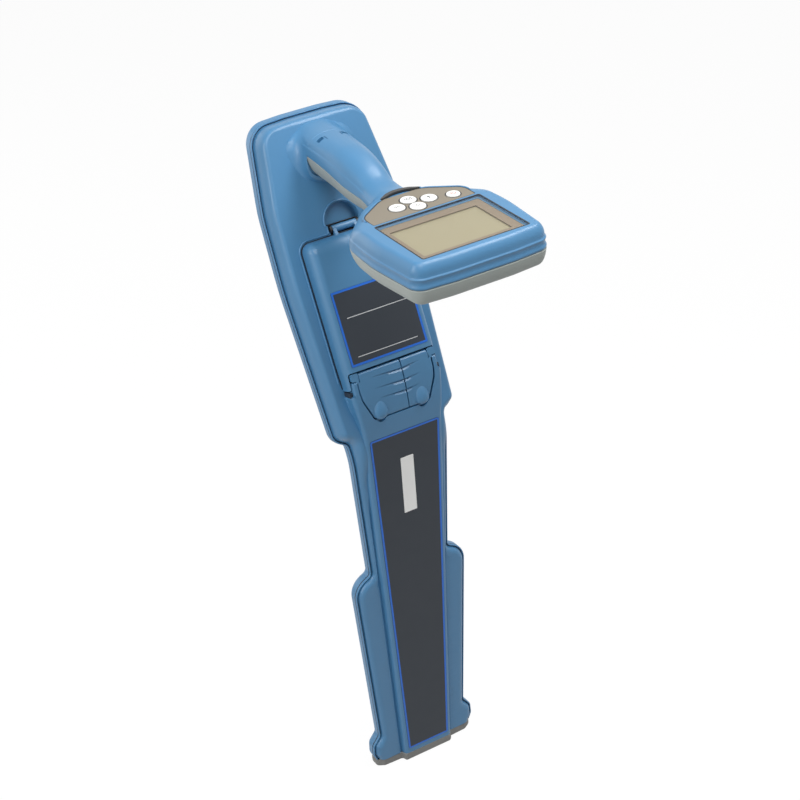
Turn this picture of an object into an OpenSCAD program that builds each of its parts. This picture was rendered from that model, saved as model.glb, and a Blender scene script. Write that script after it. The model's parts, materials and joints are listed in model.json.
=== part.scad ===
// Hand-held cable locator: a tall two-shell housing that leans back at the top,
// with a pistol handle, a display head, and a latched battery door on its front.
// Millimetres. +Z is up, the front faces -Y, and the origin lies on the foot's underside, in the middle plane.

/* [Blade] */
// Depth of the front shell over the blade, spine front to parting plane
front_depth = 12.5; // [12:0.1:13.5]
// Depth of the rear shell
rear_depth = 14; // [13:0.5:18]
// Height of the rubber foot
foot_h = 10; // [7:0.5:12]
// Backward lean of the paddle, degrees
lean = 24.7; // [20:0.1:28]
// Height at which the parting plane starts to lean
bend_z = 360; // [356:1:364]
// Radius of that bend
bend_r = 66; // [50:1:80]
// Wall of the moulded shells
wall = 2.6; // [2:0.1:3]
// Gap between the two shells, filled by the seal
seam_gap = 1.2; // [0.8:0.1:2]

/* [Outline] */
// Half width at the ears above the foot
ear_half = 59.4; // [57:0.1:62]
// Half width of the wings at their lower end
wing_low_half = 51.4; // [50:0.1:54]
// Half width of the wings at their upper end
wing_half = 63.8; // [61:0.1:66]
// Height of the wings' upper shoulder
wing_top = 228.8; // [220:0.1:236]
// Half width of the neck at its lower end
neck_low_half = 44.8; // [43:0.1:46]
// Half width of the neck under the paddle
neck_half = 53.4; // [51:0.1:55]
// Half width of the paddle at its lower end
paddle_low_half = 66; // [63:0.5:69]
// Widest half width of the paddle
paddle_half = 71.5; // [69:0.1:74]
// Half width of the paddle at its top corners
paddle_top_half = 58; // [55:0.5:61]
// Length along the parting plane from the floor to the paddle's top
paddle_top = 696.6; // [692:0.1:702]

/* [Spine] */
// Half width of the spine at the foot
spine_low_half = 28; // [26:0.5:30]
// Half width of the spine under the latch
spine_half = 42.7; // [41.5:0.1:44]
// How far the wings' front stands before the parting plane
wing_rise = 7; // [6.5:0.1:8]
// How far the paddle's flat field stands before the parting plane
field_rise = 18.66; // [17:0.01:20]
// How far the battery door's face stands before the parting plane
door_rise = 36.26; // [35:0.01:37]
// Radius of the bend in the front face, from the spine to the door
face_bend_r = 150; // [130:1:160]

/* [Battery door] */
// Half width of the battery door
door_half = 49; // [48:0.1:50.5]
// Position of the door's top edge along the paddle
door_top = 580.3; // [577:0.1:582]
// Wall of the door
door_wall = 2.6; // [2:0.1:3]
// Half width of the notch that holds the latch flaps
notch_half = 43.3; // [42.5:0.1:44]
// Position of the notch's upper edge along the front face
notch_top = 464.6; // [463:0.1:466]
// Position of the side rails' lower ends along the front face
rail_low = 448; // [446.5:0.5:452]
// Thickness of the latch flaps
flap_t = 4.5; // [3.5:0.1:5]
// Position of the latch flaps' lower edge along the front face
flap_low = 409.5; // [407:0.5:414]
// Gap around moving flaps and door
run_gap = 0.5; // [0.4:0.05:0.7]
// Radius of the door's hinge pin
hinge_pin_r = 1.5; // [1.2:0.1:1.8]
// Radius of the latch flaps' pins
flap_pin_r = 1.2; // [1:0.1:1.4]
// Radial clearance of the pins
pin_fit = 0.05; // [0.02:0.01:0.1]

/* [Battery] */
// Radius of one round cell
cell_r = 17.1; // [16:0.1:17.4]
// Length of one round cell
cell_len = 61.5; // [58:0.5:62]
// Wall of the battery tray
tray_wall = 2; // [1.6:0.1:2.4]

/* [Display head] */
// Height of the head's top face
head_z = 645; // [640:1:650]
// Thickness of the head's upper shell
head_upper = 22.5; // [21:0.5:24]
// Thickness of the head's lower shell
head_lower = 16; // [14:0.5:18]
// How much narrower than the paddle the head is, on each side
head_step = 1; // [-2:0.1:4]
// Reach of the head forward from the foot's centre
head_reach = 176.8; // [173:0.1:180]
// Half width of the handle
handle_half = 21.5; // [20:0.5:23]
// Margin between the display window and the head's side
window_margin = 18; // [16:0.5:21]
// Depth of the display window, front to back
window_len = 77; // [73:0.5:79]
// Radius of the four function keys
key_r = 7.2; // [6.4:0.1:7.4]
// Radius of the power key
power_r = 6.2; // [5.5:0.1:6.8]
// Travel of the keys
key_travel = 0.8; // [0.5:0.1:0.9]

/* [Hidden] */
$fn = 48;

BLUE = [0.29, 0.49, 0.66];
GREY = [0.69, 0.72, 0.7];
RUBBER = [0.45, 0.45, 0.44];
BLACK = [0.1, 0.1, 0.11];
SLATE = [0.2, 0.23, 0.26];
WHITE = [0.88, 0.88, 0.87];
METAL = [0.75, 0.74, 0.7];
BOARD = [0.1, 0.35, 0.2];
FERRITE = [0.2, 0.2, 0.2];
COPPER = [0.7, 0.4, 0.2];
TAUPE = [0.66, 0.62, 0.56];

// Frames: the parting plane of the shells, and the front face of spine and door
front_y = -19;
part_y = front_y + front_depth;
function arc_len(r) = r * lean * PI / 180;
function leaned(y0, s1, r, x, s, h) =
    let (
        a = (s - s1) / r * 180 / PI,
        t = min(max(a, 0), lean),
        over = max(s - s1 - arc_len(r), 0),
        under = min(s - s1, 0))
    [x, y0 + r * (1 - cos(t)) + over * sin(t) - h * cos(t),
        s1 + under + r * sin(t) + over * cos(t) + h * sin(t)];
core = function (x, s, h) leaned(part_y, bend_z, bend_r, x, s, h);
core_end = core(0, bend_z + arc_len(bend_r), 0);
meet_z = core_end.z + (door_rise - (core_end.y - front_y) * cos(lean)) / sin(lean);
face_bend_z = meet_z - face_bend_r * tan(lean / 2);
face = function (x, s, h) leaned(front_y, face_bend_z, face_bend_r, x, s, h);
face_end = face(0, face_bend_z + arc_len(face_bend_r), 0);
// Face positions run ahead of parting plane positions by this much on the paddle
face_shift = face_bend_z + arc_len(face_bend_r) - bend_z - arc_len(bend_r)
    - (face_end.y - core_end.y) * sin(lean) - (face_end.z - core_end.z) * cos(lean);
function face_angle(s) = min(max((s - face_bend_z) / face_bend_r * 180 / PI, 0), lean);

module on_blade(x, s, h) translate(core(x, s, h)) rotate([s < bend_z + bend_r / 4 ? 90 : 90 - lean, 0, 0]) children();
module paddle_frame() translate(core_end) rotate([90 - lean, 0, 0]) translate([0, -bend_z - arc_len(bend_r), 0]) children();
module on_face(x, s, h) translate(face(x, s, h)) rotate([90 - face_angle(s), 0, 0]) children();

// Outlines: right halves of mirrored loops, from corners [x, s, radius, points, inset share of the next edge]
function unit(v) = v / norm(v);
function edge_normal(p, q) = let (d = unit(q - p)) [d.y, -d.x];
function turned(v, a) = [v.x * cos(a) - v.y * sin(a), v.x * sin(a) + v.y * cos(a)];
function share(c) = len(c) > 4 ? c[4] : 1;
function moved_corner(p, n1, n2, d1, d2) =
    let (c = n1 * n2)
    c > 0.99 || d1 == d2 ? p - (n1 + n2) * (d1 + d2) / 2 / (1 + c)
    : p - n1 * (d1 - c * d2) / (1 - c * c) - n2 * (d2 - c * d1) / (1 - c * c);
function corner_arc(q, n1, n2, r, n) =
    let (
        turn = atan2(cross(n1, n2), n1 * n2),
        side = turn < 0 ? -1 : 1,
        centre = q - side * (n1 + n2) * r / (1 + n1 * n2))
    n == 1 ? [q] : [for (i = [0 : n - 1]) centre + side * r * turned(n1, turn * i / (n - 1))];
function half_outline(c, d, first_share) =
    let (p = [for (k = c) [k[0], k[1]]], last = len(c) - 1)
    [for (i = [0 : last])
        let (
            n1 = edge_normal(i == 0 ? [-p[0].x, p[0].y] : p[i - 1], p[i]),
            n2 = edge_normal(p[i], i == last ? [-p[i].x, p[i].y] : p[i + 1]),
            q = moved_corner(p[i], n1, n2, d * (i == 0 ? first_share : share(c[i - 1])), d * share(c[i])),
            r = cross(n1, n2) < 0 ? c[i][2] + d : max(c[i][2] - d, 0.2))
        each corner_arc(q, n1, n2, r, c[i][3])];

// A closed skin through mirrored rings, with ladder caps between the mirrored halves
module skin(rings) {
    n = len(rings[0]);
    last = len(rings) - 1;
    polyhedron(
        points = [for (ring = rings) each ring],
        faces = concat(
            [for (k = [0 : last - 1], i = [0 : n - 1])
                let (a = k * n + i, b = k * n + (i + 1) % n)
                each [[a, a + n, b + n], [a, b + n, b]]],
            [for (i = [0 : n / 2 - 2], k = [0, last])
                let (a = k * n + i, b = a + 1, d = k * n + n - 1 - i, c = d - 1)
                each k == 0 ? [[a, b, c], [a, c, d]] : [[a, d, c], [a, c, b]]]));
}
// A moulded plate: rings are [inset, height, share of the local rise, share of the local drop]
module plate(corners, rings, place, rise = function (s) 0, first_share = 1, drop = function (s) 0)
    skin([for (g = rings)
        let (
            half = half_outline(corners, g[0], first_share),
            ring = [for (p = half)
                [p.x, p.y, g[1] + (len(g) > 2 ? g[2] * rise(p.y) : 0) + (len(g) > 3 ? g[3] * drop(p.y) : 0)]])
        concat(
            [for (p = ring) place(p.x, p.y, p.z)],
            [for (i = [len(ring) - 1 : -1 : 0]) place(-ring[i].x, ring[i].y, ring[i].z)])]);
// A rounded block across the blade, given by its lower and upper corners
module block(lo, hi) translate(lo) cube(hi - lo);
module rounded_slab(x, y, r, z0, z1) translate([0, 0, z0]) linear_extrude(z1 - z0) rounded_rect(x, y, r);
module rounded_rect(x, y, r) {
    square([2 * x - 2 * r, 2 * y], center = true);
    square([2 * x, 2 * y - 2 * r], center = true);
    for (i = [-1, 1], j = [-1, 1]) translate([i * (x - r), j * (y - r)]) circle(r);
}

// Outline of the housing, in the parting plane
neck_low = wing_top + 10;
neck_top = bend_z + 28.4;
function neck_x(s) = neck_low_half + (neck_half - neck_low_half) * (s - neck_low) / (neck_top - neck_low);
blade_corners = [
    [ear_half - 2.5, foot_h, 0, 1],
    [ear_half + 0.5, foot_h + 7, 6, 3],
    [ear_half, foot_h + 19, 9, 4],
    [wing_low_half, foot_h + 29, 6, 3],
    [wing_half, wing_top, 22, 7],
    [neck_low_half, neck_low, 5, 4],
    [neck_x(bend_z - 30), bend_z - 30, 0, 1],
    [neck_x(bend_z), bend_z, 0, 1],
    [neck_x(bend_z + 14), bend_z + 14, 0, 1],
    [neck_half, neck_top, 5, 4],
    [paddle_low_half, neck_top + 7, 13, 5],
    [paddle_half, paddle_top - 155, 420, 5],
    [paddle_half - 2.1, paddle_top - 82, 150, 3],
    [paddle_top_half, paddle_top - 2, 24, 7],
    [paddle_top_half - 38, paddle_top, 100, 3]];
// The hollow leaves out the ears, which stay solid
hollow_corners = concat([[wing_low_half - 1.7, foot_h, 4, 3]], [for (i = [4 : len(blade_corners) - 1]) blade_corners[i]]);
rim_h = 6;
function smooth(t) = let (u = min(max(t, 0), 1)) u * u * (3 - 2 * u);
front_rise = function (s) (field_rise - wing_rise) * smooth((s - bend_z + 16) / 58) + wing_rise - rim_h;
half_gap = seam_gap / 2;

module front_plate() plate(blade_corners, [
    [0, half_gap], [0, 1.9], [0.7, 2.5], [1.4, 2], [2.1, 2.4],
    [3.1, 4.2, 0.2], [5.2, rim_h - 0.3, 0.68], [10, rim_h, 1]], core, front_rise, 0);
module front_plate_cavity() plate(hollow_corners, [
    [1.8 + wall, -2], [2 + wall, 0.6 + wall], [3.6 + wall, rim_h - wall, 0.55],
    [9 + wall, rim_h - wall, 1]], core, front_rise);

// Spine: the ridge down the front, up to the latch, with a tongue under the flaps
spine_top = 398;
function spine_x(s) = spine_low_half + (spine_half - spine_low_half) * (s - foot_h) / (spine_top - foot_h);
ridge_top = rail_low - 2;
ridge_half = door_half - 0.6;
function ridge_x(s) = spine_half + (ridge_half - spine_half) * (s - spine_top) / (ridge_top - spine_top);
spine_corners = concat(
    [[spine_low_half, foot_h, 0, 1], [spine_x(200), 200, 0, 1], [spine_half, spine_top, 0, 1]],
    [for (i = [1 : 4]) let (s = spine_top + i * (ridge_top - spine_top) / 5) [ridge_x(s), s, 0, 1]],
    [[ridge_half, ridge_top, 2, 3, 0], [notch_half - run_gap, ridge_top + 0.8, 0.5, 2, 0],
        [notch_half - run_gap, notch_top - 2.6, 0.5, 2, 0]]);
cavity_top = flap_low - 5;
spine_cavity_corners = [[spine_low_half, foot_h, 0, 1], [spine_x(200), 200, 0, 1], [spine_x(cavity_top), cavity_top, 2, 3]];
spine_base = function (s) -(front_depth - half_gap - 0.1)
    - (door_rise - field_rise + 3 - front_depth) * smooth((s - bend_z) / (ridge_top - bend_z));
module spine_ridge() plate(spine_corners, [
    [-1.8, 0, 1], [-0.5, 0, 0.6], [0, -5], [0.6, -2.5], [1.9, -0.8], [4.2, 0]], face, spine_base, 0);
module spine_cavity() plate(spine_cavity_corners, [
    [wall - 0.8, -4, 1], [wall - 0.2, 0, 0.6], [wall + 0.4, -3 - wall], [wall + 1.8, -1 - wall],
    [wall + 4.2, -wall]], face, spine_base);

// Handle collar: a flare round the handle's root, in sections along Y
handle_end = 97;
handle_mid_z = head_z - 4.5;
collar_stations = [[handle_end + 11, 11.5, 9.5], [handle_end + 1, 8, 6], [handle_end - 7, 5.7, 3.9],
    [handle_end - 13, 4, 2.3], [handle_end - 17, 3.2, 1.3]];
function oval(t) = sign(t) * pow(abs(t), 0.8);
module handle_flare()
    skin([for (c = collar_stations)
        let (half = [for (i = [0 : 14]) let (a = -86 + i * 172 / 14)
            [(handle_half + c[1]) * oval(cos(a)), (handle_half + 2 + c[2]) * oval(sin(a))]])
        concat(
            [for (p = half) [p.x, c[0], handle_mid_z + p.y]],
            [for (i = [14 : -1 : 0]) [-half[i].x, c[0], handle_mid_z + half[i].y]])]);

module handle_collar() intersection() {
    handle_flare();
    paddle_frame() block([-paddle_half, paddle_top - 200, field_rise - wall], [paddle_half, paddle_top, field_rise + 60]);
}

// Latch flaps: one shield shape, split down the middle
flap_axis = notch_top - 3.4;
flap_axis_h = -3.3;
knuckle_r = 2.9;
flap_half = notch_half - run_gap;
function shield(low, half, ups) = concat(
    [[half - 17, low, 7, 5], [half - 1.4, low + 25, 16, 6], [half - 0.2, low + 33, 0, 1]],
    [for (s = ups) [half, s, 0, 1, s == ups[len(ups) - 1] ? 0 : 1]]);
pocket_depth = knuckle_r - flap_axis_h + run_gap;
module latch_pocket() plate(shield(flap_low - run_gap, flap_half + run_gap, [ridge_top, ridge_top + 8, notch_top + 3]),
    [[0, -pocket_depth], [0, 4]], face);

// Housing screws, as [x, s] on the right side, from their distances to the outline
function half_at(s) = lookup(s, [for (c = blade_corners) [c[1], c[0]]]);
screw_rows = [[58, 12], [wing_top - 27, 11.5], [306, 10.5], [neck_top + 25, 14.5], [545, 14.5], [paddle_top - 29, 15]];
screw_spots = [for (r = screw_rows) [half_at(r[0]) - r[1], r[0]]];
gusset_in = 4.8;
screw_r = 1.6;
screw_head_r = 3;
boss_r = 4.2;
sink = 5;
post_foot = half_gap + 0.4;
gusset_h = 3.9;
pilot_h = wing_rise - wall;
module screw_posts() for (i = [-1, 1], p = screw_spots)
    hull() {
        on_blade(i * p[0], p[1], post_foot)
            cylinder(r = boss_r, h = front_rise(p[1]) + rim_h - wall / 2 - post_foot, $fn = 20);
        on_blade(i * (half_at(p[1]) - gusset_in), p[1], post_foot) cylinder(r = 1, h = gusset_h - post_foot, $fn = 8);
    }
module screw_pilots() for (i = [-1, 1], p = screw_spots)
    on_blade(i * p[0], p[1], 0) cylinder(r = screw_r + 0.2, h = pilot_h, $fn = 14);

// Battery bay, in the paddle's own frame
cell_gap = 1.2;
leaf_room = 7;
plate_room = 1.4;
tray_half = 2 * cell_r + cell_gap / 2 + 0.5 + tray_wall;
tray_len = cell_len + leaf_room + plate_room + 2 * tray_wall;
bay_mid = door_top - 63;
bay_gap = 0.3;
cell_h = 10.16;
flange = 2.4;
lip_in = flange + 0.4;
lip_t = 1.8;
lip_top = field_rise + 5;
module bay_frame(grow_in, grow_out, h0, h1) on_blade(0, bay_mid, 0) difference() {
    rounded_slab(tray_half + grow_out, tray_len / 2 + grow_out, 5, h0, h1);
    rounded_slab(tray_half + grow_in, tray_len / 2 + grow_in, 4, h0 - 1, h1 + 1);
}
module bay_opening() on_blade(0, bay_mid, 0)
    rounded_slab(tray_half + bay_gap, tray_len / 2 + bay_gap, 2, 0, field_rise + 2);

// Door hinge, in the paddle's own frame
hinge_s = door_top + 5.5;
hinge_h = field_rise - 1.5;
hinge_knuckle_r = 3.6;
hinge_half = 12.8;
slot_half = 15.6;
slot_floor = hinge_h - 8.7;
cheek_t = 2;
scoop_r = 17.5;
scoop_s = hinge_s + 5.5;

module shell_outside() {
    front_plate();
    spine_ridge();
    handle_collar();
}
module front_shell() color(BLUE) difference() {
    union() {
        difference() {
            shell_outside();
            front_plate_cavity();
            spine_cavity();
        }
        screw_posts();
        paddle_frame() {
            block([-slot_half - 2, hinge_s - 13, slot_floor - 2], [slot_half + 2, hinge_s + 7, field_rise - wall / 2]);
            translate([0, scoop_s, slot_floor]) cylinder(r = scoop_r + 2, h = field_rise - wall / 2 - slot_floor, $fn = 32);
        }
        bay_frame(lip_in, lip_in + lip_t, field_rise - 1, lip_top);
    }
    screw_pilots();
    bay_opening();
    latch_pocket();
    handle_plug(-0.35);
    paddle_frame() {
        block([-slot_half, hinge_s - 11, slot_floor], [slot_half, hinge_s + 5, field_rise + 3]);
        translate([0, scoop_s, slot_floor + 3]) cylinder(r = scoop_r, h = field_rise, $fn = 40);
    }
}

// On the paddle the rear shell's sides run straight back instead of square to the leaning plane
rear_core = function (x, s, h) core(x, s - min(h, 0) * tan(lean) * smooth((s - bend_z) / 70), h);
module rear_plate() plate(blade_corners, [
    [12, -rear_depth], [7.5, 0.7 - rear_depth], [3.6, 2.6 - rear_depth],
    [1, 5 - rear_depth], [0, 7.8 - rear_depth], [0, -half_gap]], rear_core, front_rise, 0);
module rear_cavity() plate(hollow_corners, [
    [11 + wall, wall - rear_depth], [4.6 + wall, wall + 1.2 - rear_depth],
    [2 + wall, wall + 5 - rear_depth], [1.8 + wall, 2]], rear_core, front_rise);
rear_floor = wall - rear_depth;
board_h = -6;
board_s = [130, 320];
board_half = 23;
board_posts = [[17, board_s[0] + 12], [17, board_s[1] - 12]];
lower_rod_s = 27;
upper_rod_s = paddle_top - 50;
rod_r = 5;
side_rod_r = 4.5;
rod_h = -3.6;
side_rod_x = wing_low_half - 10.6;
side_rod_s = [75, 195];
module rod_saddle() difference() {
    translate([-3, -7, rear_floor - 0.5]) cube([6, 14, rod_h - rear_floor - 1]);
    children();
}
module rear_shell() color(BLUE) difference() {
    union() {
        difference() {
            rear_plate();
            rear_cavity();
        }
        for (i = [-1, 1], p = screw_spots)
            on_blade(i * p[0], p[1], rear_floor - 0.6) cylinder(r = boss_r, h = -rear_floor - half_gap);
        for (i = [-1, 1], p = board_posts)
            on_blade(i * p[0], p[1], rear_floor - 0.5) cylinder(r = 3.2, h = board_h - rear_floor + 0.5);
        for (i = [-1, 1], s = [lower_rod_s, upper_rod_s])
            on_blade(i * 34, s, 0) rod_saddle() translate([-5, 0, rod_h]) rotate([0, 90, 0]) cylinder(r = rod_r + 0.1, h = 10);
        for (i = [-1, 1], s = [side_rod_s[0] + 10, side_rod_s[1] - 10])
            on_blade(i * side_rod_x, s, 0) rotate([0, 0, 90]) rod_saddle()
                translate([-5, 0, rod_h]) rotate([0, 90, 0]) cylinder(r = side_rod_r + 0.1, h = 10);
    }
    for (i = [-1, 1], p = screw_spots) on_blade(i * p[0], p[1], -rear_depth - 2) {
        cylinder(r = screw_r + 0.3, h = rear_depth + 4);
        cylinder(r = screw_head_r + 0.4, h = sink + 2);
    }
}
module shell_seal() color(BLACK) difference() {
    plate(blade_corners, [[1, -half_gap], [1, half_gap]], core);
    plate(blade_corners, [[2.6, -2], [2.6, 2]], core);
}
module foot_bumper() color(RUBBER) plate([
    [spine_low_half - 0.4, front_y + 0.1, 3, 4], [spine_low_half + 1, part_y - wing_rise + 0.1, 1.5, 3],
    [ear_half - 10, part_y - wing_rise + 0.9, 5, 5], [ear_half - 2.4, part_y - 1.4, 5, 5],
    [ear_half - 2.4, part_y + rear_depth - 5, 5, 5], [ear_half - 9, part_y + rear_depth - 0.3, 5, 5],
    [20, part_y + rear_depth, 0, 1]],
    [[3.5, 0], [1.4, 0.7], [0.3, 2.4], [0, 4.5], [0, foot_h]], function (x, y, z) [x, y, z]);

label_low = 15.5;
label_top = spine_top - 3.5;
label_in = 4.3;
module long_label() color(SLATE) plate([
    [spine_x(label_low) - label_in, label_low, 2.5, 4], [spine_x(label_top) - label_in, label_top, 2.5, 4]],
    [[0, 0], [0, 0.4]], face);
strip_s = [label_top - 91.5, label_top - 29.5];
module id_strip() color(WHITE) plate([for (s = strip_s) [7, s, 0.6, 3]], [[0, 0.4], [0, 0.7]], face);

// Door: a raised lid with side rails, hinged at its top
door_top_t = door_top + face_shift;
door_base = field_rise + 1.2 - door_rise;
door_corners = [[door_half - 0.7, rail_low, 1.5, 3], [door_half - 0.4, rail_low + 6, 0, 1],
    [door_half - 0.2, rail_low + 12, 0, 1], [door_half - 0.1, rail_low + 18, 0, 1], [door_half, rail_low + 24, 0, 1],
    [door_half, door_top_t, 9, 8]];
cavity_corners = [[door_half, notch_top, 2, 3], [door_half, notch_top + 6, 0, 1], [door_half, door_top_t, 9, 8]];
notch_corners = [for (s = [rail_low - 8, rail_low, rail_low + 6, rail_low + 12, notch_top]) [notch_half, s, 0, 1]];
module battery_door() color(BLUE) difference() {
    union() {
        difference() {
            plate(door_corners, [[0, door_base], [0.2, -10], [1.2, -5], [3.4, -1.9], [6, -0.5], [9, 0]], face);
            plate(cavity_corners, [[door_wall, door_base - 3], [door_wall + 0.1, -9], [door_wall + 1, -3 - door_wall],
                [door_wall + 3, -1 - door_wall], [door_wall + 6, -door_wall]], face);
            plate(notch_corners, [[0, door_base - 4], [0, 4]], face);
        }
        paddle_frame() translate([0, hinge_s, hinge_h]) {
            rotate([0, 90, 0]) cylinder(r = hinge_knuckle_r, h = 2 * hinge_half, center = true);
            rotate([90, 0, 90]) translate([0, 0, -hinge_half]) linear_extrude(2 * hinge_half)
                polygon([[-8, 2.9], [-8, 8], [-4.5, 6.5], [0.6, 3.4], [0, 0], [-3.4, 0.5]]);
        }
    }
    paddle_frame() translate([0, hinge_s, hinge_h]) rotate([0, 90, 0])
        cylinder(r = hinge_pin_r + pin_fit, h = 4 * hinge_half, center = true);
    on_face(0, flap_axis, flap_axis_h) rotate([0, 90, 0]) cylinder(r = flap_pin_r, h = 2 * door_half - 4, center = true);
}
door_label_s = [door_top_t - 120, door_top_t - 48.5];
module door_label() color(SLATE) plate([for (s = door_label_s) [door_half - 10.2, s, 1.5, 3]], [[0, 0], [0, 0.4]], face);
module door_seal() color(BLACK) bay_frame(lip_in + 0.1, lip_in + lip_t - 0.1, lip_top, lip_top + 1.6);
module hinge_bracket() color(BLACK) paddle_frame() difference() {
    union() {
        block([-slot_half + 0.2, hinge_s - 4.5, slot_floor], [slot_half - 0.2, hinge_s + 4.5, slot_floor + 2]);
        for (i = [-1, 1]) translate([i * (slot_half - 0.2 - cheek_t / 2), 0, 0]) {
            translate([-cheek_t / 2, hinge_s - 4, slot_floor]) cube([cheek_t, 8, hinge_h - slot_floor]);
            translate([-cheek_t / 2, hinge_s, hinge_h]) rotate([0, 90, 0]) cylinder(r = 4, h = cheek_t);
        }
    }
    translate([0, hinge_s, hinge_h]) rotate([0, 90, 0]) cylinder(r = hinge_pin_r, h = 3 * slot_half, center = true);
}
module hinge_pin() color(METAL) paddle_frame() translate([0, hinge_s, hinge_h]) rotate([0, 90, 0])
    cylinder(r = hinge_pin_r, h = 2 * slot_half - 0.4, center = true);

module shield_flap() difference() {
    union() {
        plate(shield(flap_low, flap_half, [ridge_top, ridge_top + 8, flap_axis]),
            [[0, -flap_t - 0.2], [0, -1.4], [0.5, -0.5], [1.4, -0.1]], face);
        on_face(0, flap_axis, flap_axis_h) rotate([0, 90, 0]) cylinder(r = knuckle_r, h = 2 * flap_half - 0.4, center = true);
        for (s = [424, 435, 446]) on_face(0, s, -0.3) rotate([0, 90, 0])
            cylinder(r = 1.1, h = 2 * flap_half - 26 - (446 - s) * 0.5, center = true);
        for (i = [-1, 1]) on_face(i * 23.6, flap_low + 9, -1.5) cylinder(r1 = 6, r2 = 4.2, h = 4);
    }
    on_face(0, flap_axis, flap_axis_h) rotate([0, 90, 0])
        cylinder(r = flap_pin_r + pin_fit, h = 3 * flap_half, center = true);
}
module half_space(side) translate([side > 0 ? 0.3 : -100.3, -100, 350]) cube([100, 200, 200]);
module latch_left() color(BLUE) intersection() {
    shield_flap();
    half_space(-1);
}
module latch_right() color(BLUE) intersection() {
    shield_flap();
    half_space(1);
}
module latch_pins() color(METAL) for (i = [-1, 1]) on_face(i * 30, flap_axis, flap_axis_h) rotate([0, i * 90, 0])
    cylinder(r = flap_pin_r, h = door_half - 2 - 30);

// Battery tray and cells
module battery_tray() color(BLACK) on_blade(0, bay_mid, 0) difference() {
    union() {
        rounded_slab(tray_half, tray_len / 2, 1.5, cell_h - cell_r - 0.3 - tray_wall, field_rise + 1);
        rounded_slab(tray_half + flange, tray_len / 2 + flange, 4, field_rise, field_rise + 1.4);
    }
    rounded_slab(tray_half - tray_wall, tray_len / 2 - tray_wall, 0.8, cell_h - cell_r - 0.3, field_rise + 4);
}
cell_x = cell_r + cell_gap / 2;
cell_low = -tray_len / 2 + tray_wall + leaf_room;
module cell() rotate([-90, 0, 0]) {
    cylinder(r = cell_r, h = cell_len - 2);
    cylinder(r = 4.7, h = cell_len);
}
module battery_cells() color([0.35, 0.33, 0.3]) on_blade(0, bay_mid, cell_h) {
    translate([-cell_x, cell_low, 0]) cell();
    translate([cell_x, cell_low + cell_len, 0]) rotate([0, 0, 180]) cell();
}
module leaf_contacts() color(METAL) on_blade(0, bay_mid, cell_h) for (i = [-1, 1])
    translate([i * cell_x - 7, -tray_len / 2 + tray_wall, 0]) rotate([90, 0, 90]) linear_extrude(14)
        polygon([[0, -12], [0.5, -12], [0.5, -6], [leaf_room - 0.4, 0], [0.5, 6], [0.5, 12], [0, 12], [0, 5.6],
            [leaf_room - 1.1, 0], [0, -5.6]]);
module plate_contacts() color(METAL) on_blade(0, bay_mid, cell_h)
    translate([-cell_x - 9, tray_len / 2 - tray_wall - 0.6, -9]) cube([2 * cell_x + 18, 0.6, 18]);

// Display head and handle: one plan outline, split into an upper and a lower shell
head_half = paddle_half - head_step;
window_half = head_half - window_margin;
head_part = head_z - head_upper;
part_z = function (y) lookup(y, [[-90, head_part], [-54, head_part + 2], [-16, head_part + 7.2], [14, head_part + 11.3],
    [50, head_part + 18.8], [78, head_part + 23], [100, head_part + 25]]);
upper_rise = function (y) lookup(y, [[-90, head_z], [-36, head_z], [-22, head_z - 1.8], [-8, head_z + 0.8], [8, head_z + 9],
    [25, head_z + 15], [45, head_z + 18], [100, head_z + 19.2]]) - part_z(y);
lower_drop = function (y) lookup(y, [[-90, head_part - head_lower], [-46, head_part - head_lower + 1],
    [-16, head_part - 10], [20, head_part - 9], [55, head_part - 4.5], [100, head_part - 0.5]]) - part_z(y);
head_place = function (x, y, z) [x, y, part_z(y) + z];
flank_in = 2.4;
neck_in = 4;
root_out = 2.5;
// The rounding is this wide on the head, and reaches the middle of the handle
head_round = 8.8;
function handle_x(y) = handle_half + root_out * smooth((y - 35) / 60) - neck_in * smooth((35 - y) / 50);
function handle_share(y) = (handle_x(y) - 0.6) / head_round;
handle_corners = [for (y = [-6, 4, 14, 24, 35, 50, 64, 78, 88]) [handle_x(y), y, 0, 1, handle_share(y)]];
head_end = [[handle_half + root_out, handle_end, 0, 1, 0]];
head_corners = concat([
    [30, -head_reach, 60, 3], [head_half - 4.3, -head_reach + 3, 13, 6], [head_half + 0.7, -head_reach + 64, 140, 5],
    [head_half - 1.9, -head_reach + 108.6, 22, 7, flank_in],
    [handle_half + 18.5, -head_reach + 138.8, 30, 4, flank_in],
    [handle_half - neck_in + 2.5, -head_reach + 150, 10, 6, handle_share(-6)]], handle_corners);
closed_end = [[handle_half + root_out, handle_end, 0, 1]];
upper_rings = [[0, 0.2], [0.3, 0, 0.3], [1.4, 0, 0.6], [3.6, 0, 0.84], [6, 0, 0.97], [head_round, 0, 1]];
lower_rings = [[head_round, 0, 1], [6, 0, 0.95], [3.4, 0, 0.8], [1.2, 0, 0.45], [0, -0.2]];
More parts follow.
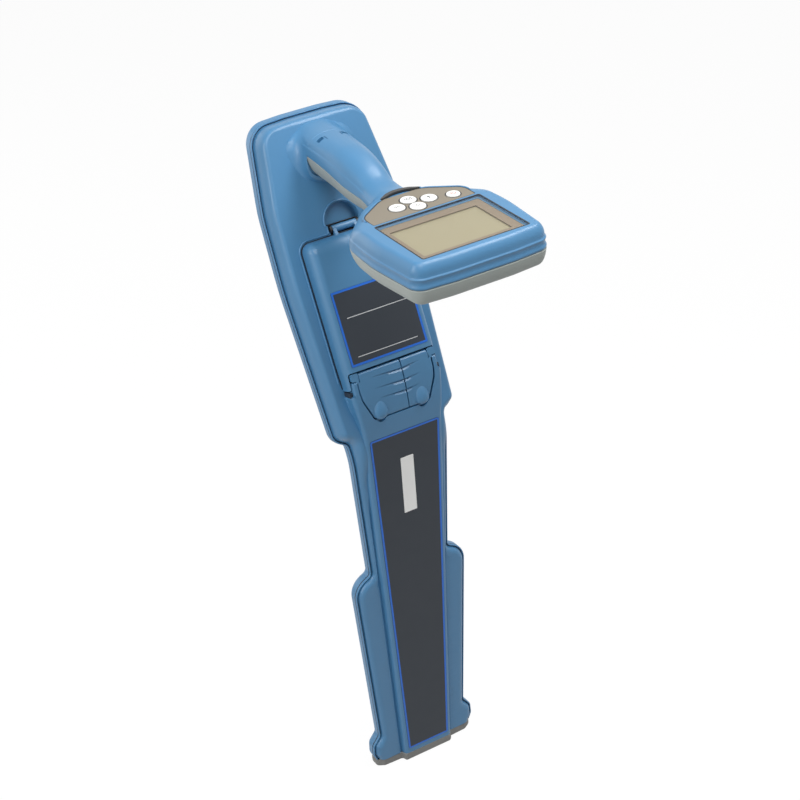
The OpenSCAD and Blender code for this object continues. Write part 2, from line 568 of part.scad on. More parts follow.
// The handle's root by itself, for the hole that it plugs into
module handle_plug(inset) {
    root = concat([for (c = handle_corners) if (c[1] > 45) c], [[handle_half + root_out, handle_end + 0.6, 0, 1, 0]]);
    rings = concat(
        [for (g = lower_rings) if (len(g) > 2) [g[0] + inset, inset, 0, g[2]]],
        [[inset, 0]],
        [for (g = upper_rings) if (len(g) > 2) [g[0] + inset, -inset, g[2]]]);
    plate(root, rings, head_place, upper_rise, 0, lower_drop);
}
window_y = -head_reach + 12.3 + window_len / 2;
lens_t = 1.6;
glass_z = head_z - 0.4;
keypad_front = window_y + window_len / 2 + 2.5;
keypad_half = window_half - 1.3;
keypad_corners = [[keypad_half, keypad_front, 2, 3], [keypad_half, keypad_front + 19, 14, 6],
    [24, keypad_front + 38.5, 30, 5], [6, keypad_front + 45.5, 20, 3]];
band_corners = [[21, keypad_front + 41, 0.5, 2], [12, keypad_front + 47.5, 8, 4], [4, keypad_front + 50, 12, 3]];
key_mid = keypad_front + 18;
key_x = -1.4;
key_spots = [[key_x - 16, key_mid], [key_x, key_mid + 8], [key_x, key_mid - 8], [key_x + 16, key_mid]];
power_spot = [keypad_half - 16, key_mid - 6.5];
panel_t = 1.2;
panel_z = head_z - 1.4;
roof_z = panel_z - 1.3;
key_foot = roof_z - 2;
key_fit = 0.35;
key_flange = 0.6;
place_flat = function (x, y, z) [x, y, z];
module key_holes(grow, z0, z1) {
    for (p = key_spots) translate([p.x, p.y, z0]) cylinder(r = key_r + grow, h = z1 - z0);
    translate([power_spot.x, power_spot.y, z0]) cylinder(r = power_r + grow, h = z1 - z0);
}
module keypad_shape(z0, z1, inset) plate(keypad_corners, [[inset, z0], [inset, z1]], place_flat);
module band_shape(z0, z1, inset) plate(band_corners, [[inset, z0], [inset, z1]], place_flat);
head_screw_spots = [[head_half - 14, -head_reach + 24], [head_half - 11, -head_reach + 92]];
board_z = head_part + 13;
board_t = 1.6;
board_half_head = head_half - 20;
board_tab = [[head_half - 25, key_mid - 2], [head_half - 38, key_mid + 14]];
module head_top_shell() color(BLUE) difference() {
    union() {
        difference() {
            plate(concat(head_corners, head_end), upper_rings, head_place, upper_rise, 1);
            plate(concat(head_corners, closed_end), [[wall - 0.2, -2], [wall + 0.1, 0, 0.28], [wall + 1.2, 0, 0.54],
                [wall + 3.2, -1, 0.8], [head_round - 0.1, -wall, 1]], head_place, upper_rise, 1);
        }
        for (i = [-1, 1], p = head_screw_spots) translate([i * p.x, p.y, head_part + 0.4]) cylinder(r = 4, h = head_upper - 1.6);
    }
    translate([0, window_y, 0]) rounded_slab(window_half, window_len / 2, 2, glass_z - lens_t, head_z + 3);
    translate([0, window_y, 0]) rounded_slab(window_half - 3, window_len / 2 - 3, 2, head_z - 8, head_z + 3);
    keypad_shape(panel_z, head_z + 6, 0);
    band_shape(panel_z, head_z + 6, 0);
    key_holes(key_fit, head_z - 8, head_z + 3);
    for (i = [-1, 1], p = head_screw_spots) translate([i * p.x, p.y, head_part - 1]) cylinder(r = 1.6, h = 12);
    for (i = [-1, 1]) translate([i * snap_x - snap_size.x / 2, handle_end - 27, head_z + 13]) cube(snap_size);
}
snap_x = 12.5;
snap_size = [5, 3.4, 8];
board_posts_head = [[head_half - 26, window_y - 27], [head_half - 26, window_y + 45]];
module head_bottom_shell() color(GREY) difference() {
    union() {
        difference() {
            plate(concat(head_corners, head_end), lower_rings, head_place, lower_drop, 1);
            plate(concat(head_corners, closed_end), [[head_round - 0.1, wall, 1], [wall + 3, wall, 0.88], [wall + 0.6, 0, 0.45],
                [wall - 0.2, 2]], head_place, lower_drop, 1);
        }
        for (i = [-1, 1], p = head_screw_spots)
            translate([i * p.x, p.y, head_part - head_lower + 1.5]) cylinder(r = 4, h = head_lower - 1.9);
        for (i = [-1, 1], p = board_posts_head)
            translate([i * p.x, p.y, head_part - head_lower + 1]) cylinder(r = 3, h = board_z - head_part + head_lower - 1);
    }
    for (i = [-1, 1], p = head_screw_spots) translate([i * p.x, p.y, head_part - head_lower - 1]) {
        cylinder(r = 1.8, h = head_lower + 3);
        cylinder(r = 3.2, h = 4.2);
    }
}
module display_lens() color([0.75, 0.8, 0.78, 0.5]) translate([0, window_y, 0])
    rounded_slab(window_half - 0.2, window_len / 2 - 0.2, 1.8, glass_z - lens_t, glass_z);
module lcd_panel() color([0.72, 0.69, 0.55]) translate([0, window_y, 0])
    rounded_slab(window_half - 6, window_len / 2 - 8, 1, board_z + board_t, glass_z - lens_t - 1.6);
module keypad_panel() color(TAUPE) difference() {
    keypad_shape(panel_z, panel_z + panel_t, 0.2);
    key_holes(key_fit, panel_z - 1, panel_z + 3);
    band_shape(panel_z - 1, panel_z + 3, -0.2);
}
module keypad_band() color([0.25, 0.26, 0.27]) difference() {
    band_shape(panel_z, panel_z + 2.4, 0.2);
    keypad_shape(panel_z - 1, panel_z + 6, -0.1);
}
module key(p, r) color(WHITE) translate([p.x, p.y, key_foot]) {
    cylinder(r = r + key_flange, h = 1.3);
    cylinder(r = r, h = panel_z + panel_t + 1 - key_foot - 0.6);
    cylinder(r1 = r, r2 = r - 1, h = panel_z + panel_t + 1 - key_foot);
}
module key_left() key(key_spots[0], key_r);
module key_rear() key(key_spots[1], key_r);
module key_front() key(key_spots[2], key_r);
module key_right() key(key_spots[3], key_r);
module key_power() key(power_spot, power_r);
module key_mat() color([0.3, 0.3, 0.3]) union() {
    translate([8, key_mid, board_z + board_t]) rounded_slab(36, 14, 13, 0, 1.2);
    for (p = concat(key_spots, [power_spot])) translate([p.x, p.y, board_z + board_t])
        cylinder(r = 4.5, h = key_foot - 0.9 - board_z - board_t);
}
module head_board() color(BOARD) translate([0, 0, board_z]) {
    translate([0, window_y, 0]) rounded_slab(board_half_head, window_len / 2, 3, 0, board_t);
    linear_extrude(board_t) polygon(concat(
        [[-board_half_head + 3, window_y], [board_half_head - 3, window_y]], board_tab,
        [for (i = [1, 0]) [-board_tab[i].x, board_tab[i].y]]));
}
module sounder() color(BLACK) translate([-24, window_y, board_z - 5]) cylinder(r = 9, h = 5);

// Boards and antennas in the housing
module main_board() color(BOARD) {
    on_blade(0, (board_s[0] + board_s[1]) / 2, 0)
        rounded_slab(board_half, (board_s[1] - board_s[0]) / 2, 2, board_h, board_h + 1.6);
    for (c = [[-8, 180, 7], [6, 230, 9], [-6, 280, 6]]) on_blade(c[0], c[1], board_h + 1.5)
        translate([-c[2], -c[2], 0]) cube([2 * c[2], 2 * c[2], 2.6]);
}
module wound_rod(r, half, coil) rotate([0, 90, 0]) {
    color(FERRITE) cylinder(r = r, h = 2 * half, center = true);
    color(COPPER) cylinder(r = r + 2.2, h = 2 * coil, center = true);
}
rod_half = wing_low_half - 9;
module lower_antenna() on_blade(0, lower_rod_s, rod_h) wound_rod(rod_r, rod_half, 24);
module upper_antenna() on_blade(0, upper_rod_s, rod_h) wound_rod(rod_r, rod_half, 24);
module side_antennas() for (i = [-1, 1])
    on_blade(i * side_rod_x, (side_rod_s[0] + side_rod_s[1]) / 2, rod_h) rotate([0, 0, 90])
        wound_rod(side_rod_r, (side_rod_s[1] - side_rod_s[0]) / 2, 34);

module housing_screws() color(METAL) for (i = [-1, 1], p = screw_spots) on_blade(i * p[0], p[1], -rear_depth + sink) {
    translate([0, 0, -2.2]) cylinder(r = screw_head_r, h = 2.2);
    cylinder(r = screw_r, h = rear_depth - sink + pilot_h - 0.5);
}
module head_screws() color(METAL) for (i = [-1, 1], p = head_screw_spots)
    translate([i * p.x, p.y, head_part - head_lower + 3.2]) {
        translate([0, 0, -2]) cylinder(r = 2.8, h = 2);
        cylinder(r = 1.5, h = head_lower + 6);
    }

front_shell();
rear_shell();
shell_seal();
foot_bumper();
long_label();
id_strip();
battery_door();
door_label();
door_seal();
hinge_bracket();
hinge_pin();
latch_left();
latch_right();
latch_pins();
battery_tray();
battery_cells();
leaf_contacts();
plate_contacts();
head_top_shell();
head_bottom_shell();
display_lens();
lcd_panel();
keypad_panel();
keypad_band();
key_left();
key_rear();
key_front();
key_right();
key_power();
key_mat();
head_board();
sounder();
main_board();
lower_antenna();
upper_antenna();
side_antennas();
housing_screws();
head_screws();
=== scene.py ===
"""Looks for a hand-held cable locator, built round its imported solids. Shapes are in millimetres."""
import json
from math import atan2, ceil, cos, hypot, pi, radians, sin, tan

import bmesh
import bpy
import numpy as np
from mathutils import Matrix, Vector


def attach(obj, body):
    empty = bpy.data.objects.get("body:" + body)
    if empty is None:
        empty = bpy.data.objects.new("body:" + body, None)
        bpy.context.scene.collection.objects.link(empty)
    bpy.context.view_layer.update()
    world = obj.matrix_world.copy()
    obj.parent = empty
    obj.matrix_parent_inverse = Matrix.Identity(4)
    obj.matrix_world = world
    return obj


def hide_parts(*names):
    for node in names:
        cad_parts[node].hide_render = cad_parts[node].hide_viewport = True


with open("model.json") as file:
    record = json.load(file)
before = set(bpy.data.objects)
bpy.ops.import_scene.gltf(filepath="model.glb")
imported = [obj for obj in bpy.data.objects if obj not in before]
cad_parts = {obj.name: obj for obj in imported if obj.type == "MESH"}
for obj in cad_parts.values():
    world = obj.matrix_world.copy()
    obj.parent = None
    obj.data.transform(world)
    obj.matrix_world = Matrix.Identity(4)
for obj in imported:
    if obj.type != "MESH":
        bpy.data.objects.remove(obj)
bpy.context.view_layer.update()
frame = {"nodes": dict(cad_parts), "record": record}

MM = 0.001
SIDES = (-1, 1)
nodes = frame["nodes"]
scene = bpy.context.scene

# Camera, fitted to the photograph, in metres
CAMERA_AT = (-0.745366, -1.348340, 1.322149)
CAMERA_RIGHT = (0.8509, -0.5210, -0.0674)
CAMERA_UP = (0.3146, 0.4027, 0.8595)
LENS = 85.5
SENSOR = 36
CLIP_END = 20

# Housing: depths from the parting plane, half widths, and places along that plane
FRONT_Y = -19
FRONT_DEPTH = 12.5
REAR_DEPTH = 14
FOOT_H = 10
LEAN = radians(24.7)
BEND_Z = 360
BEND_R = 66
FACE_BEND_R = 150
WALL = 2.6
HALF_GAP = 0.6
EAR_HALF = 59.4
WING_LOW_HALF = 51.4
WING_HALF = 63.8
WING_TOP = 228.8
NECK_LOW = WING_TOP + 10
NECK_TOP = BEND_Z + 28.4
NECK_LOW_HALF = 44.8
NECK_HALF = 53.4
PADDLE_LOW_HALF = 66
PADDLE_HALF = 71.5
PADDLE_TOP_HALF = 58
PADDLE_TOP = 696.6
SPINE_LOW_HALF = 28
SPINE_HALF = 42.7
SPINE_TOP = 398
WING_RISE = 7
FIELD_RISE = 18.66
DOOR_RISE = 36.26
RIM_H = 6

# Battery door, its bay and its hinge
DOOR_HALF = 49
DOOR_TOP = 580.3
DOOR_CORNER = 9
DOOR_WALL = 2.6
CELL_R = 17.1
CELL_LEN = 61.5
CELL_GAP = 1.2
LEAF_ROOM = 7
PLATE_ROOM = 1.4
TRAY_WALL = 2
TRAY_SLACK = 0.5
TRAY_HALF = 2 * CELL_R + CELL_GAP / 2 + TRAY_SLACK + TRAY_WALL
TRAY_LEN = CELL_LEN + LEAF_ROOM + PLATE_ROOM + 2 * TRAY_WALL
BAY_MID = DOOR_TOP - 63
BAY_GAP = 0.3
HINGE_S = DOOR_TOP + 5.5
HINGE_H = FIELD_RISE - 1.5
HINGE_HALF = 12.8
HINGE_KNUCKLE_R = 3.6
SLOT_HALF = 15.6
SLOT_LOW = HINGE_S - 11
SLOT_TOP = HINGE_S + 5
SLOT_MID = (SLOT_LOW + SLOT_TOP) / 2
SLOT_LEN = SLOT_TOP - SLOT_LOW
SLOT_FLOOR = HINGE_H - 8.7
SLOT_WALL = 2
SCOOP_R = 17.5
SCOOP_S = HINGE_S + 5.5
SCOOP_FLOOR = SLOT_FLOOR + 3

# Latch in the notch of the door, and the rib of the spine that it lies on
NOTCH_HALF = 46.2
NOTCH_TOP = 465.8
RAIL_LOW = 448
FLAP_LOW = 415.3
FLAP_HALF = 39.8
FLAP_SPLIT = 7.6
FLAP_T = 4.5
FLAP_AXIS = RAIL_LOW + 13.2
FLAP_AXIS_H = -3.3
KNUCKLE_R = 2.9
RUN_GAP = 0.9
RIDGE_TOP = RAIL_LOW - 5
RIDGE_HALF = DOOR_HALF - 0.6
RIB_HALF = NOTCH_HALF - RUN_GAP
RIB_TOP = FLAP_AXIS - 4.4
POCKET = KNUCKLE_R - FLAP_AXIS_H + 0.5
BUMP_X = 22.6
BUMP_S = FLAP_LOW + 5.2
LUG_IN = FLAP_HALF - 2.4
LUG_OUT = NOTCH_HALF - 1.2
PIN_HALF = LUG_OUT - 0.2
PIN_R = 1.2

# Display head and handle
HEAD_Z = 645
HEAD_UPPER = 22.5
HEAD_LOWER = 16
HEAD_HALF = PADDLE_HALF - 1
HEAD_REACH = 176.8
HEAD_PART = HEAD_Z - HEAD_UPPER
HEAD_UNDER = HEAD_PART - HEAD_LOWER
HEAD_ROUND = 8.8
HEAD_SEAM = 0.2
HANDLE_HALF = 21.5
HANDLE_END = 97
WINDOW_HALF = HEAD_HALF - 18
WINDOW_LEN = 77
WINDOW_Y = -HEAD_REACH + 12.3 + WINDOW_LEN / 2
PANEL_Z = HEAD_Z - 1.4
PANEL_TOP = PANEL_Z + 1.2
GLASS_Z = HEAD_Z - 0.4
GLASS_T = 1.6
KEY_R = 7.2
POWER_R = 6.2
KEY_GAP = 0.35

# Points round a circle, and how far a cutter stands clear of what it cuts
ROUND = 72
SMALL_ROUND = 28
CLEAR = 4


def add_camera():
    data = bpy.data.cameras.new("photo_camera")
    data.lens = LENS
    data.sensor_width = SENSOR
    data.clip_end = CLIP_END
    camera = bpy.data.objects.new("photo_camera", data)
    right = Vector(CAMERA_RIGHT).normalized()
    back = right.cross(Vector(CAMERA_UP)).normalized()
    up = back.cross(right)
    turn = Matrix((right, up, back)).transposed()
    camera.matrix_world = Matrix.Translation(CAMERA_AT) @ turn.to_4x4()
    scene.collection.objects.link(camera)
    scene.camera = camera


# Frames: the parting plane of the shells, the front face of spine and door, and the head
def leaned(y0, s1, r, x, s, h):
    """Points by side, way up a plane that bends back at s1, and height over it."""
    x, s, h = np.broadcast_arrays(*(np.asarray(v, float) for v in (x, s, h)))
    t = np.clip((s - s1) / r, 0, LEAN)
    over = np.maximum(s - s1 - r * LEAN, 0)
    under = np.minimum(s - s1, 0)
    y = y0 + r * (1 - np.cos(t)) + over * np.sin(t) - h * np.cos(t)
    z = s1 + under + r * np.sin(t) + over * np.cos(t) + h * np.sin(t)
    return np.stack([x, y, z], -1)


PART_Y = FRONT_Y + FRONT_DEPTH


def core(x, s, h):
    return leaned(PART_Y, BEND_Z, BEND_R, x, s, h)


CORE_BEND_END = BEND_Z + BEND_R * LEAN
CORE_END = core(0, CORE_BEND_END, 0)
MEET_Z = CORE_END[2] + (DOOR_RISE - (CORE_END[1] - FRONT_Y) * cos(LEAN)) / sin(LEAN)
FACE_BEND_Z = MEET_Z - FACE_BEND_R * tan(LEAN / 2)


def face(x, s, h):
    return leaned(FRONT_Y, FACE_BEND_Z, FACE_BEND_R, x, s, h)


FACE_BEND_END = FACE_BEND_Z + FACE_BEND_R * LEAN
FACE_END = face(0, FACE_BEND_END, 0)
# Face positions run ahead of parting plane positions by this much on the paddle
FACE_SHIFT = (FACE_BEND_END - CORE_BEND_END
              - (FACE_END[1] - CORE_END[1]) * sin(LEAN) - (FACE_END[2] - CORE_END[2]) * cos(LEAN))
DOOR_TOP_T = DOOR_TOP + FACE_SHIFT


def flat(x, y, z):
    return np.stack(np.broadcast_arrays(*(np.asarray(v, float) for v in (x, y, z))), -1)


def smooth(t):
    u = np.clip(t, 0, 1)
    return u * u * (3 - 2 * u)


def curve(x, table):
    """A smooth curve through a table of points that doesn't overshoot."""
    k, v = np.array(table, float).T
    step = np.diff(k)
    rise = np.diff(v) / step
    slope = np.zeros(len(k))
    same = rise[:-1] * rise[1:] > 0
    a, b = rise[:-1][same], rise[1:][same]
    slope[1:-1][same] = 2 * a * b / (a + b)
    slope[0], slope[-1] = rise[0], rise[-1]
    x = np.clip(np.asarray(x, float), k[0], k[-1])
    i = np.clip(np.searchsorted(k, x) - 1, 0, len(step) - 1)
    t = (x - k[i]) / step[i]
    p, q, d = slope[i] * step[i], slope[i + 1] * step[i], v[i + 1] - v[i]
    return v[i] + t * (p + t * (3 * d - 2 * p - q + t * (p + q - 2 * d)))


# Outlines: right halves of mirrored loops, from corners (x, s, radius, inset share of the next edge)
def edge_normal(p, q):
    d = hypot(q[0] - p[0], q[1] - p[1])
    return np.array([(q[1] - p[1]) / d, -(q[0] - p[0]) / d])


# Cosine over which a corner counts as straight, and the least radius that an inset leaves
STRAIGHT = 0.99
LEAST_R = 0.2


def half_outline(corners, inset=0.0, first_share=1.0, edge=4.0, turn=radians(8)):
    share = [c[3] if len(c) > 3 else 1.0 for c in corners]
    spot = [np.array(c[:2], float) for c in corners]
    last = len(corners) - 1
    arcs, edges = [], []
    for i, p in enumerate(spot):
        before = spot[i - 1] if i else p * (-1, 1)
        after = spot[i + 1] if i < last else p * (-1, 1)
        n1, n2 = edge_normal(before, p), edge_normal(p, after)
        d1, d2 = inset * (share[i - 1] if i else first_share), inset * share[i]
        c = float(n1 @ n2)
        if c > STRAIGHT or d1 == d2:
            q = p - (n1 + n2) * (d1 + d2) / 2 / (1 + c)
        else:
            q = p - n1 * (d1 - c * d2) / (1 - c * c) - n2 * (d2 - c * d1) / (1 - c * c)
        bend = atan2(n1[0] * n2[1] - n1[1] * n2[0], c)
        radius = corners[i][2]
        if radius:
            side = -1 if bend < 0 else 1
            r = radius + inset if bend < 0 else max(radius - inset, LEAST_R)
            centre = q - side * (n1 + n2) * r / (1 + c)
            count = max(3, ceil(abs(bend) / turn) + 1)
            a = bend * np.arange(count) / (count - 1)
            arcs.append(centre + side * r * np.stack(
                [n1[0] * np.cos(a) - n1[1] * np.sin(a), n1[0] * np.sin(a) + n1[1] * np.cos(a)], -1))
        else:
            arcs.append(q[None])
        edges.append(max(1, ceil(hypot(*(after - p)) / edge)) if i < last else 1)
    out = []
    for i, arc in enumerate(arcs):
        out.append(arc)
        if i < last:
            t = np.arange(1, edges[i])[:, None] / edges[i]
            out.append(arc[-1] * (1 - t) + arcs[i + 1][0] * t)
    return np.concatenate(out)


def mirrored(half):
    return np.concatenate([half, (half * (-1, 1))[::-1]])


def circle(x, y, r, count=40):
    a = 2 * pi * np.arange(count) / count
    return np.stack([x + r * np.cos(a), y + r * np.sin(a)], -1)


def rounded(x, y, r, middle=(0, 0), count=7):
    """A rounded rectangle by its half sizes."""
    out = []
    for i, (u, v) in enumerate(((1, -1), (1, 1), (-1, 1), (-1, -1))):
        a = (i - 1) * pi / 2 + np.linspace(0, pi / 2, count)
        out.append(np.stack([u * (x - r) + r * np.cos(a), v * (y - r) + r * np.sin(a)], -1))
    return np.concatenate(out) + middle


def rectangle(x0, y0, x1, y1):
    return [(x0, y0), (x1, y0), (x1, y1), (x0, y1)]


def bar(x, y, w, h):
    """A rectangle by its middle and its full sizes."""
    return rectangle(x - w / 2, y - h / 2, x + w / 2, y + h / 2)


# Meshes
def new_piece(name, points, faces):
    mesh = bpy.data.meshes.new(name)
    mesh.from_pydata((np.asarray(points, float) * MM).tolist(), [], faces)
    work = bmesh.new()
    work.from_mesh(mesh)
    bmesh.ops.recalc_face_normals(work, faces=work.faces)
    work.to_mesh(mesh)
    work.free()
    obj = bpy.data.objects.new(name, mesh)
    scene.collection.objects.link(obj)
    return obj


def ring_faces(count, rings):
    faces = []
    for low in range(0, (rings - 1) * count, count):
        high = low + count
        for i in range(count):
            j = (i + 1) % count
            faces.append((low + i, low + j, high + j, high + i))
    return faces


def capped(count, rings):
    """Faces of a tube of rings with a flat cap at each end."""
    last = (rings - 1) * count
    return ring_faces(count, rings) + [tuple(range(count)), tuple(range(last, last + count))]


def ladder(start, count):
    """Faces that close a mirrored loop, from side to side."""
    end = start + count - 1
    return [(start + i, start + i + 1, end - 1 - i, end - i) for i in range(count // 2 - 1)]


# Strength of the ledge and bead on the head's front, and a small step that shows which way is inward
LEDGE = 0.75
PROBE = 0.5
TINY = 1e-6


def loft(name, corners, rings, place, first_share=1.0, fade=None, **steps):
    """A closed skin through mirrored loops. A ring is (inset, height or function of s, fading detail)."""
    loops = []
    for inset, height, *detail in rings:
        half = half_outline(corners, inset, first_share, **steps)
        if detail and detail[0]:
            inward = half_outline(corners, inset + PROBE, first_share, **steps) - half
            inward /= np.maximum(np.hypot(inward[:, 0], inward[:, 1]), TINY)[:, None]
            half = half + inward * (LEDGE * detail[0] * fade(half[:, 1]))[:, None]
        x, s = half.T
        h = height(s) if callable(height) else height
        loops.append(np.concatenate([place(x, s, h), place(-x, s, h)[::-1]]))
    count = len(loops[0])
    ends = ladder(0, count) + ladder((len(loops) - 1) * count, count)
    return new_piece(name, np.concatenate(loops), ring_faces(count, len(loops)) + ends)


def profile(table, count):
    """Rings along a smooth profile given as (inset, height) points, spaced evenly along its length."""
    way = np.array(table, float)
    length = np.concatenate([[0], np.cumsum(np.hypot(*np.diff(way, axis=0).T))])
    t = np.linspace(0, length[-1], count)
    return list(zip(*(curve(t, np.stack([length, v], -1)) for v in way.T)))


def prism(name, loop, low, high, place):
    """A closed solid over any plane loop."""
    x, s = np.asarray(loop, float).T
    return new_piece(name, np.concatenate([place(x, s, low), place(x, s, high)]), capped(len(x), 2))


def strip(name, outer, inner, low, high, place):
    """A closed flat frame between two loops with as many points."""
    n = len(outer)
    sides = ((outer, low), (outer, high), (inner, high), (inner, low))
    points = np.concatenate([place(*loop.T, h) for loop, h in sides])
    faces = ring_faces(n, 4) + [(3 * n + i, 3 * n + (i + 1) % n, (i + 1) % n, i) for i in range(n)]
    return new_piece(name, points, faces)


def edging(name, corners, insets, low, high, place, **steps):
    """A closed flat frame between two insets of an outline."""
    outer, inner = (mirrored(half_outline(corners, i, **steps)) for i in insets)
    return strip(name, outer, inner, low, high, place)


# Points over a bead's round, and its size at the tips
BEAD_ARC = 7
BEAD_TIP = 0.04


def bead(name, path, normals, width, height, sink, taper):
    """A rounded bead along points, standing up along their normals and tapered at both ends."""
    along = np.gradient(path, axis=0)
    along /= np.linalg.norm(along, axis=1)[:, None]
    across = np.cross(along, normals)
    across /= np.linalg.norm(across, axis=1)[:, None]
    way = np.concatenate([[0], np.cumsum(np.linalg.norm(np.diff(path, axis=0), axis=1))])
    size = smooth(np.minimum(way, way[-1] - way) / taper) * (1 - BEAD_TIP) + BEAD_TIP
    section = [(cos(a) * width / 2, sin(a) * height) for a in np.linspace(0, pi, BEAD_ARC)]
    section += [(-width / 2, -sink), (width / 2, -sink)]
    points = [p + c * u * k + m * (v * k if v > 0 else v)
              for p, c, m, k in zip(path, across, normals, size) for u, v in section]
    return new_piece(name, points, capped(len(section), len(path)))


def bake(obj):
    solved = obj.evaluated_get(bpy.context.evaluated_depsgraph_get())
    mesh = bpy.data.meshes.new_from_object(solved)
    obj.modifiers.clear()
    obj.data = mesh


def boolean(target, cutters, kind="DIFFERENCE"):
    for cutter in cutters:
        step = target.modifiers.new("step", "BOOLEAN")
        step.operation = kind
        step.solver = "MANIFOLD"
        step.object = cutter
        bake(target)
        bpy.data.objects.remove(cutter)
    return target


def join(target, others):
    work = bmesh.new()
    for obj in [target, *others]:
        work.from_mesh(obj.data)
    work.to_mesh(target.data)
    work.free()
    for obj in others:
        bpy.data.objects.remove(obj)
    return target


# Housing
BLADE = [
    (EAR_HALF - 2.5, FOOT_H, 0), (EAR_HALF + 0.5, FOOT_H + 7, 6), (EAR_HALF, FOOT_H + 19, 9),
    (WING_LOW_HALF, FOOT_H + 29, 6), (WING_HALF, WING_TOP, 22), (NECK_LOW_HALF, NECK_LOW, 5),
    (NECK_HALF, NECK_TOP, 5), (PADDLE_LOW_HALF, NECK_TOP + 7, 13), (PADDLE_HALF, PADDLE_TOP - 155, 420),
    (PADDLE_HALF - 2.1, PADDLE_TOP - 82, 150), (PADDLE_TOP_HALF, PADDLE_TOP - 2, 24),
    (PADDLE_TOP_HALF - 38, PADDLE_TOP, 100)]
HOLLOW = [(WING_LOW_HALF - 1.7, FOOT_H + 4, 4), *BLADE[4:]]

# Heights over the distance from the edge: a bead, a groove, then a shoulder that rises to the field
FRONT_BASE = [
    (0, 1.9), (0.35, 2.5), (0.75, 2.75), (1.15, 2.45), (1.45, 1.5), (1.75, 1.0), (2.2, 1.0), (2.5, 1.6),
    (2.9, 2.9), (3.5, 4.1), (4.8, 5.3), (6.6, 5.85), (9, 6.0), (12, 6.0)]
# Shares of the field's rise over the same distance
FRONT_SHARE = [
    (0, 0), (2.0, 0), (2.6, 0.08), (3.6, 0.32), (5, 0.62), (6.6, 0.85), (8.2, 0.95), (10.5, 1), (12, 1)]
RIM_INSETS = (
    0, 0.35, 0.75, 1.15, 1.3, 1.45, 1.6, 1.75, 2.0, 2.2, 2.35, 2.5, 2.7, 2.9, 3.2, 3.6, 4.1, 4.8, 5.7, 6.6,
    7.6, 8.8, 10.2)
# Insets of the room inside the front shell, with shares of the field's rise
FRONT_ROOM = [(4.4, 0), (7, 0.5), (10.4, 1)]
REAR_ROUND = [(0, -6.2), (1, -9), (3.6, -11.4), (7.5, -13.3), (12, -REAR_DEPTH)]
REAR_STEPS = 14
REAR_ROOM = [(4.6, 2), (4.6, -5.5), (7, -9.5), (12, -REAR_DEPTH + WALL)]
ROOM_CUT = 2
RISE_LEAD = 16
RISE_RUN = 58
REAR_RUN = 70


def front_rise(s):
    return (FIELD_RISE - WING_RISE) * smooth((s - BEND_Z + RISE_LEAD) / RISE_RUN) + WING_RISE - RIM_H


def front_ring(inset):
    base, share = curve(inset, FRONT_BASE), curve(inset, FRONT_SHARE)
    return inset, lambda s: base + share * front_rise(s)


def rear_place(x, s, h):
    """On the paddle the rear shell's sides run straight back."""
    return core(x, s - np.minimum(h, 0) * tan(LEAN) * smooth((s - BEND_Z) / REAR_RUN), h)


def spine_x(s):
    return SPINE_LOW_HALF + (SPINE_HALF - SPINE_LOW_HALF) * (s - FOOT_H) / (SPINE_TOP - FOOT_H)


def shield(low, half, top):
    return [(half - 10.8, low, 6), (half - 1.2, low + 22.3, 14), (half, low + 31, 0), (half, top, 0, 0)]


SPINE_SEAT = FRONT_DEPTH - HALF_GAP - 0.1
SPINE_DROP = DOOR_RISE - FIELD_RISE + 3 - FRONT_DEPTH


def spine_base(s):
    return -SPINE_SEAT - SPINE_DROP * smooth((s - BEND_Z) / (RIDGE_TOP - BEND_Z))


LIFT_LEAD = 30
LIFT_RUN = 60
SIDE_SHARE = 0.55
SIDE_STEP = 0.1 / 6


def wing_level(part):
    """Depth on the spine's side: as given along the wings, a share of the base on the paddle."""
    def depth(s):
        lift = smooth((s - BEND_Z + LIFT_LEAD) / LIFT_RUN)
        return part * (1 - lift) + spine_base(s) * (SIDE_SHARE - SIDE_STEP * part) * lift
    return depth


WING_FACE = WING_RISE - FRONT_DEPTH
VALLEY_LOW = FOOT_H - 4
VALLEY_TOP = BEND_Z - 22
VALLEY_FADE = 40
VALLEY_DEPTH = 1.6


def spine_valley():
    """A shallow valley in the wings beside the spine, which runs out below the bend."""
    def low(s):
        return WING_FACE + 0.1 - VALLEY_DEPTH * (1 - smooth((s - VALLEY_TOP + VALLEY_FADE) / VALLEY_FADE))

    def slope(s):
        return low(s) + 0.3 * (WING_FACE - low(s))

    corners = [(spine_x(s), s, 0) for s in (VALLEY_LOW, VALLEY_TOP)]
    over = WING_FACE + 3
    rings = [(1.5, low), (-0.9, low), (-1.7, slope), (-3.6, WING_FACE + 0.05), (-3.7, over), (1.5, over)]
    return loft("valley", corners, rings, face, first_share=0)


RELIEF_R = 5.6
RELIEF_S = BUMP_S - 3.6
RELIEF_DEPTH = 2.2


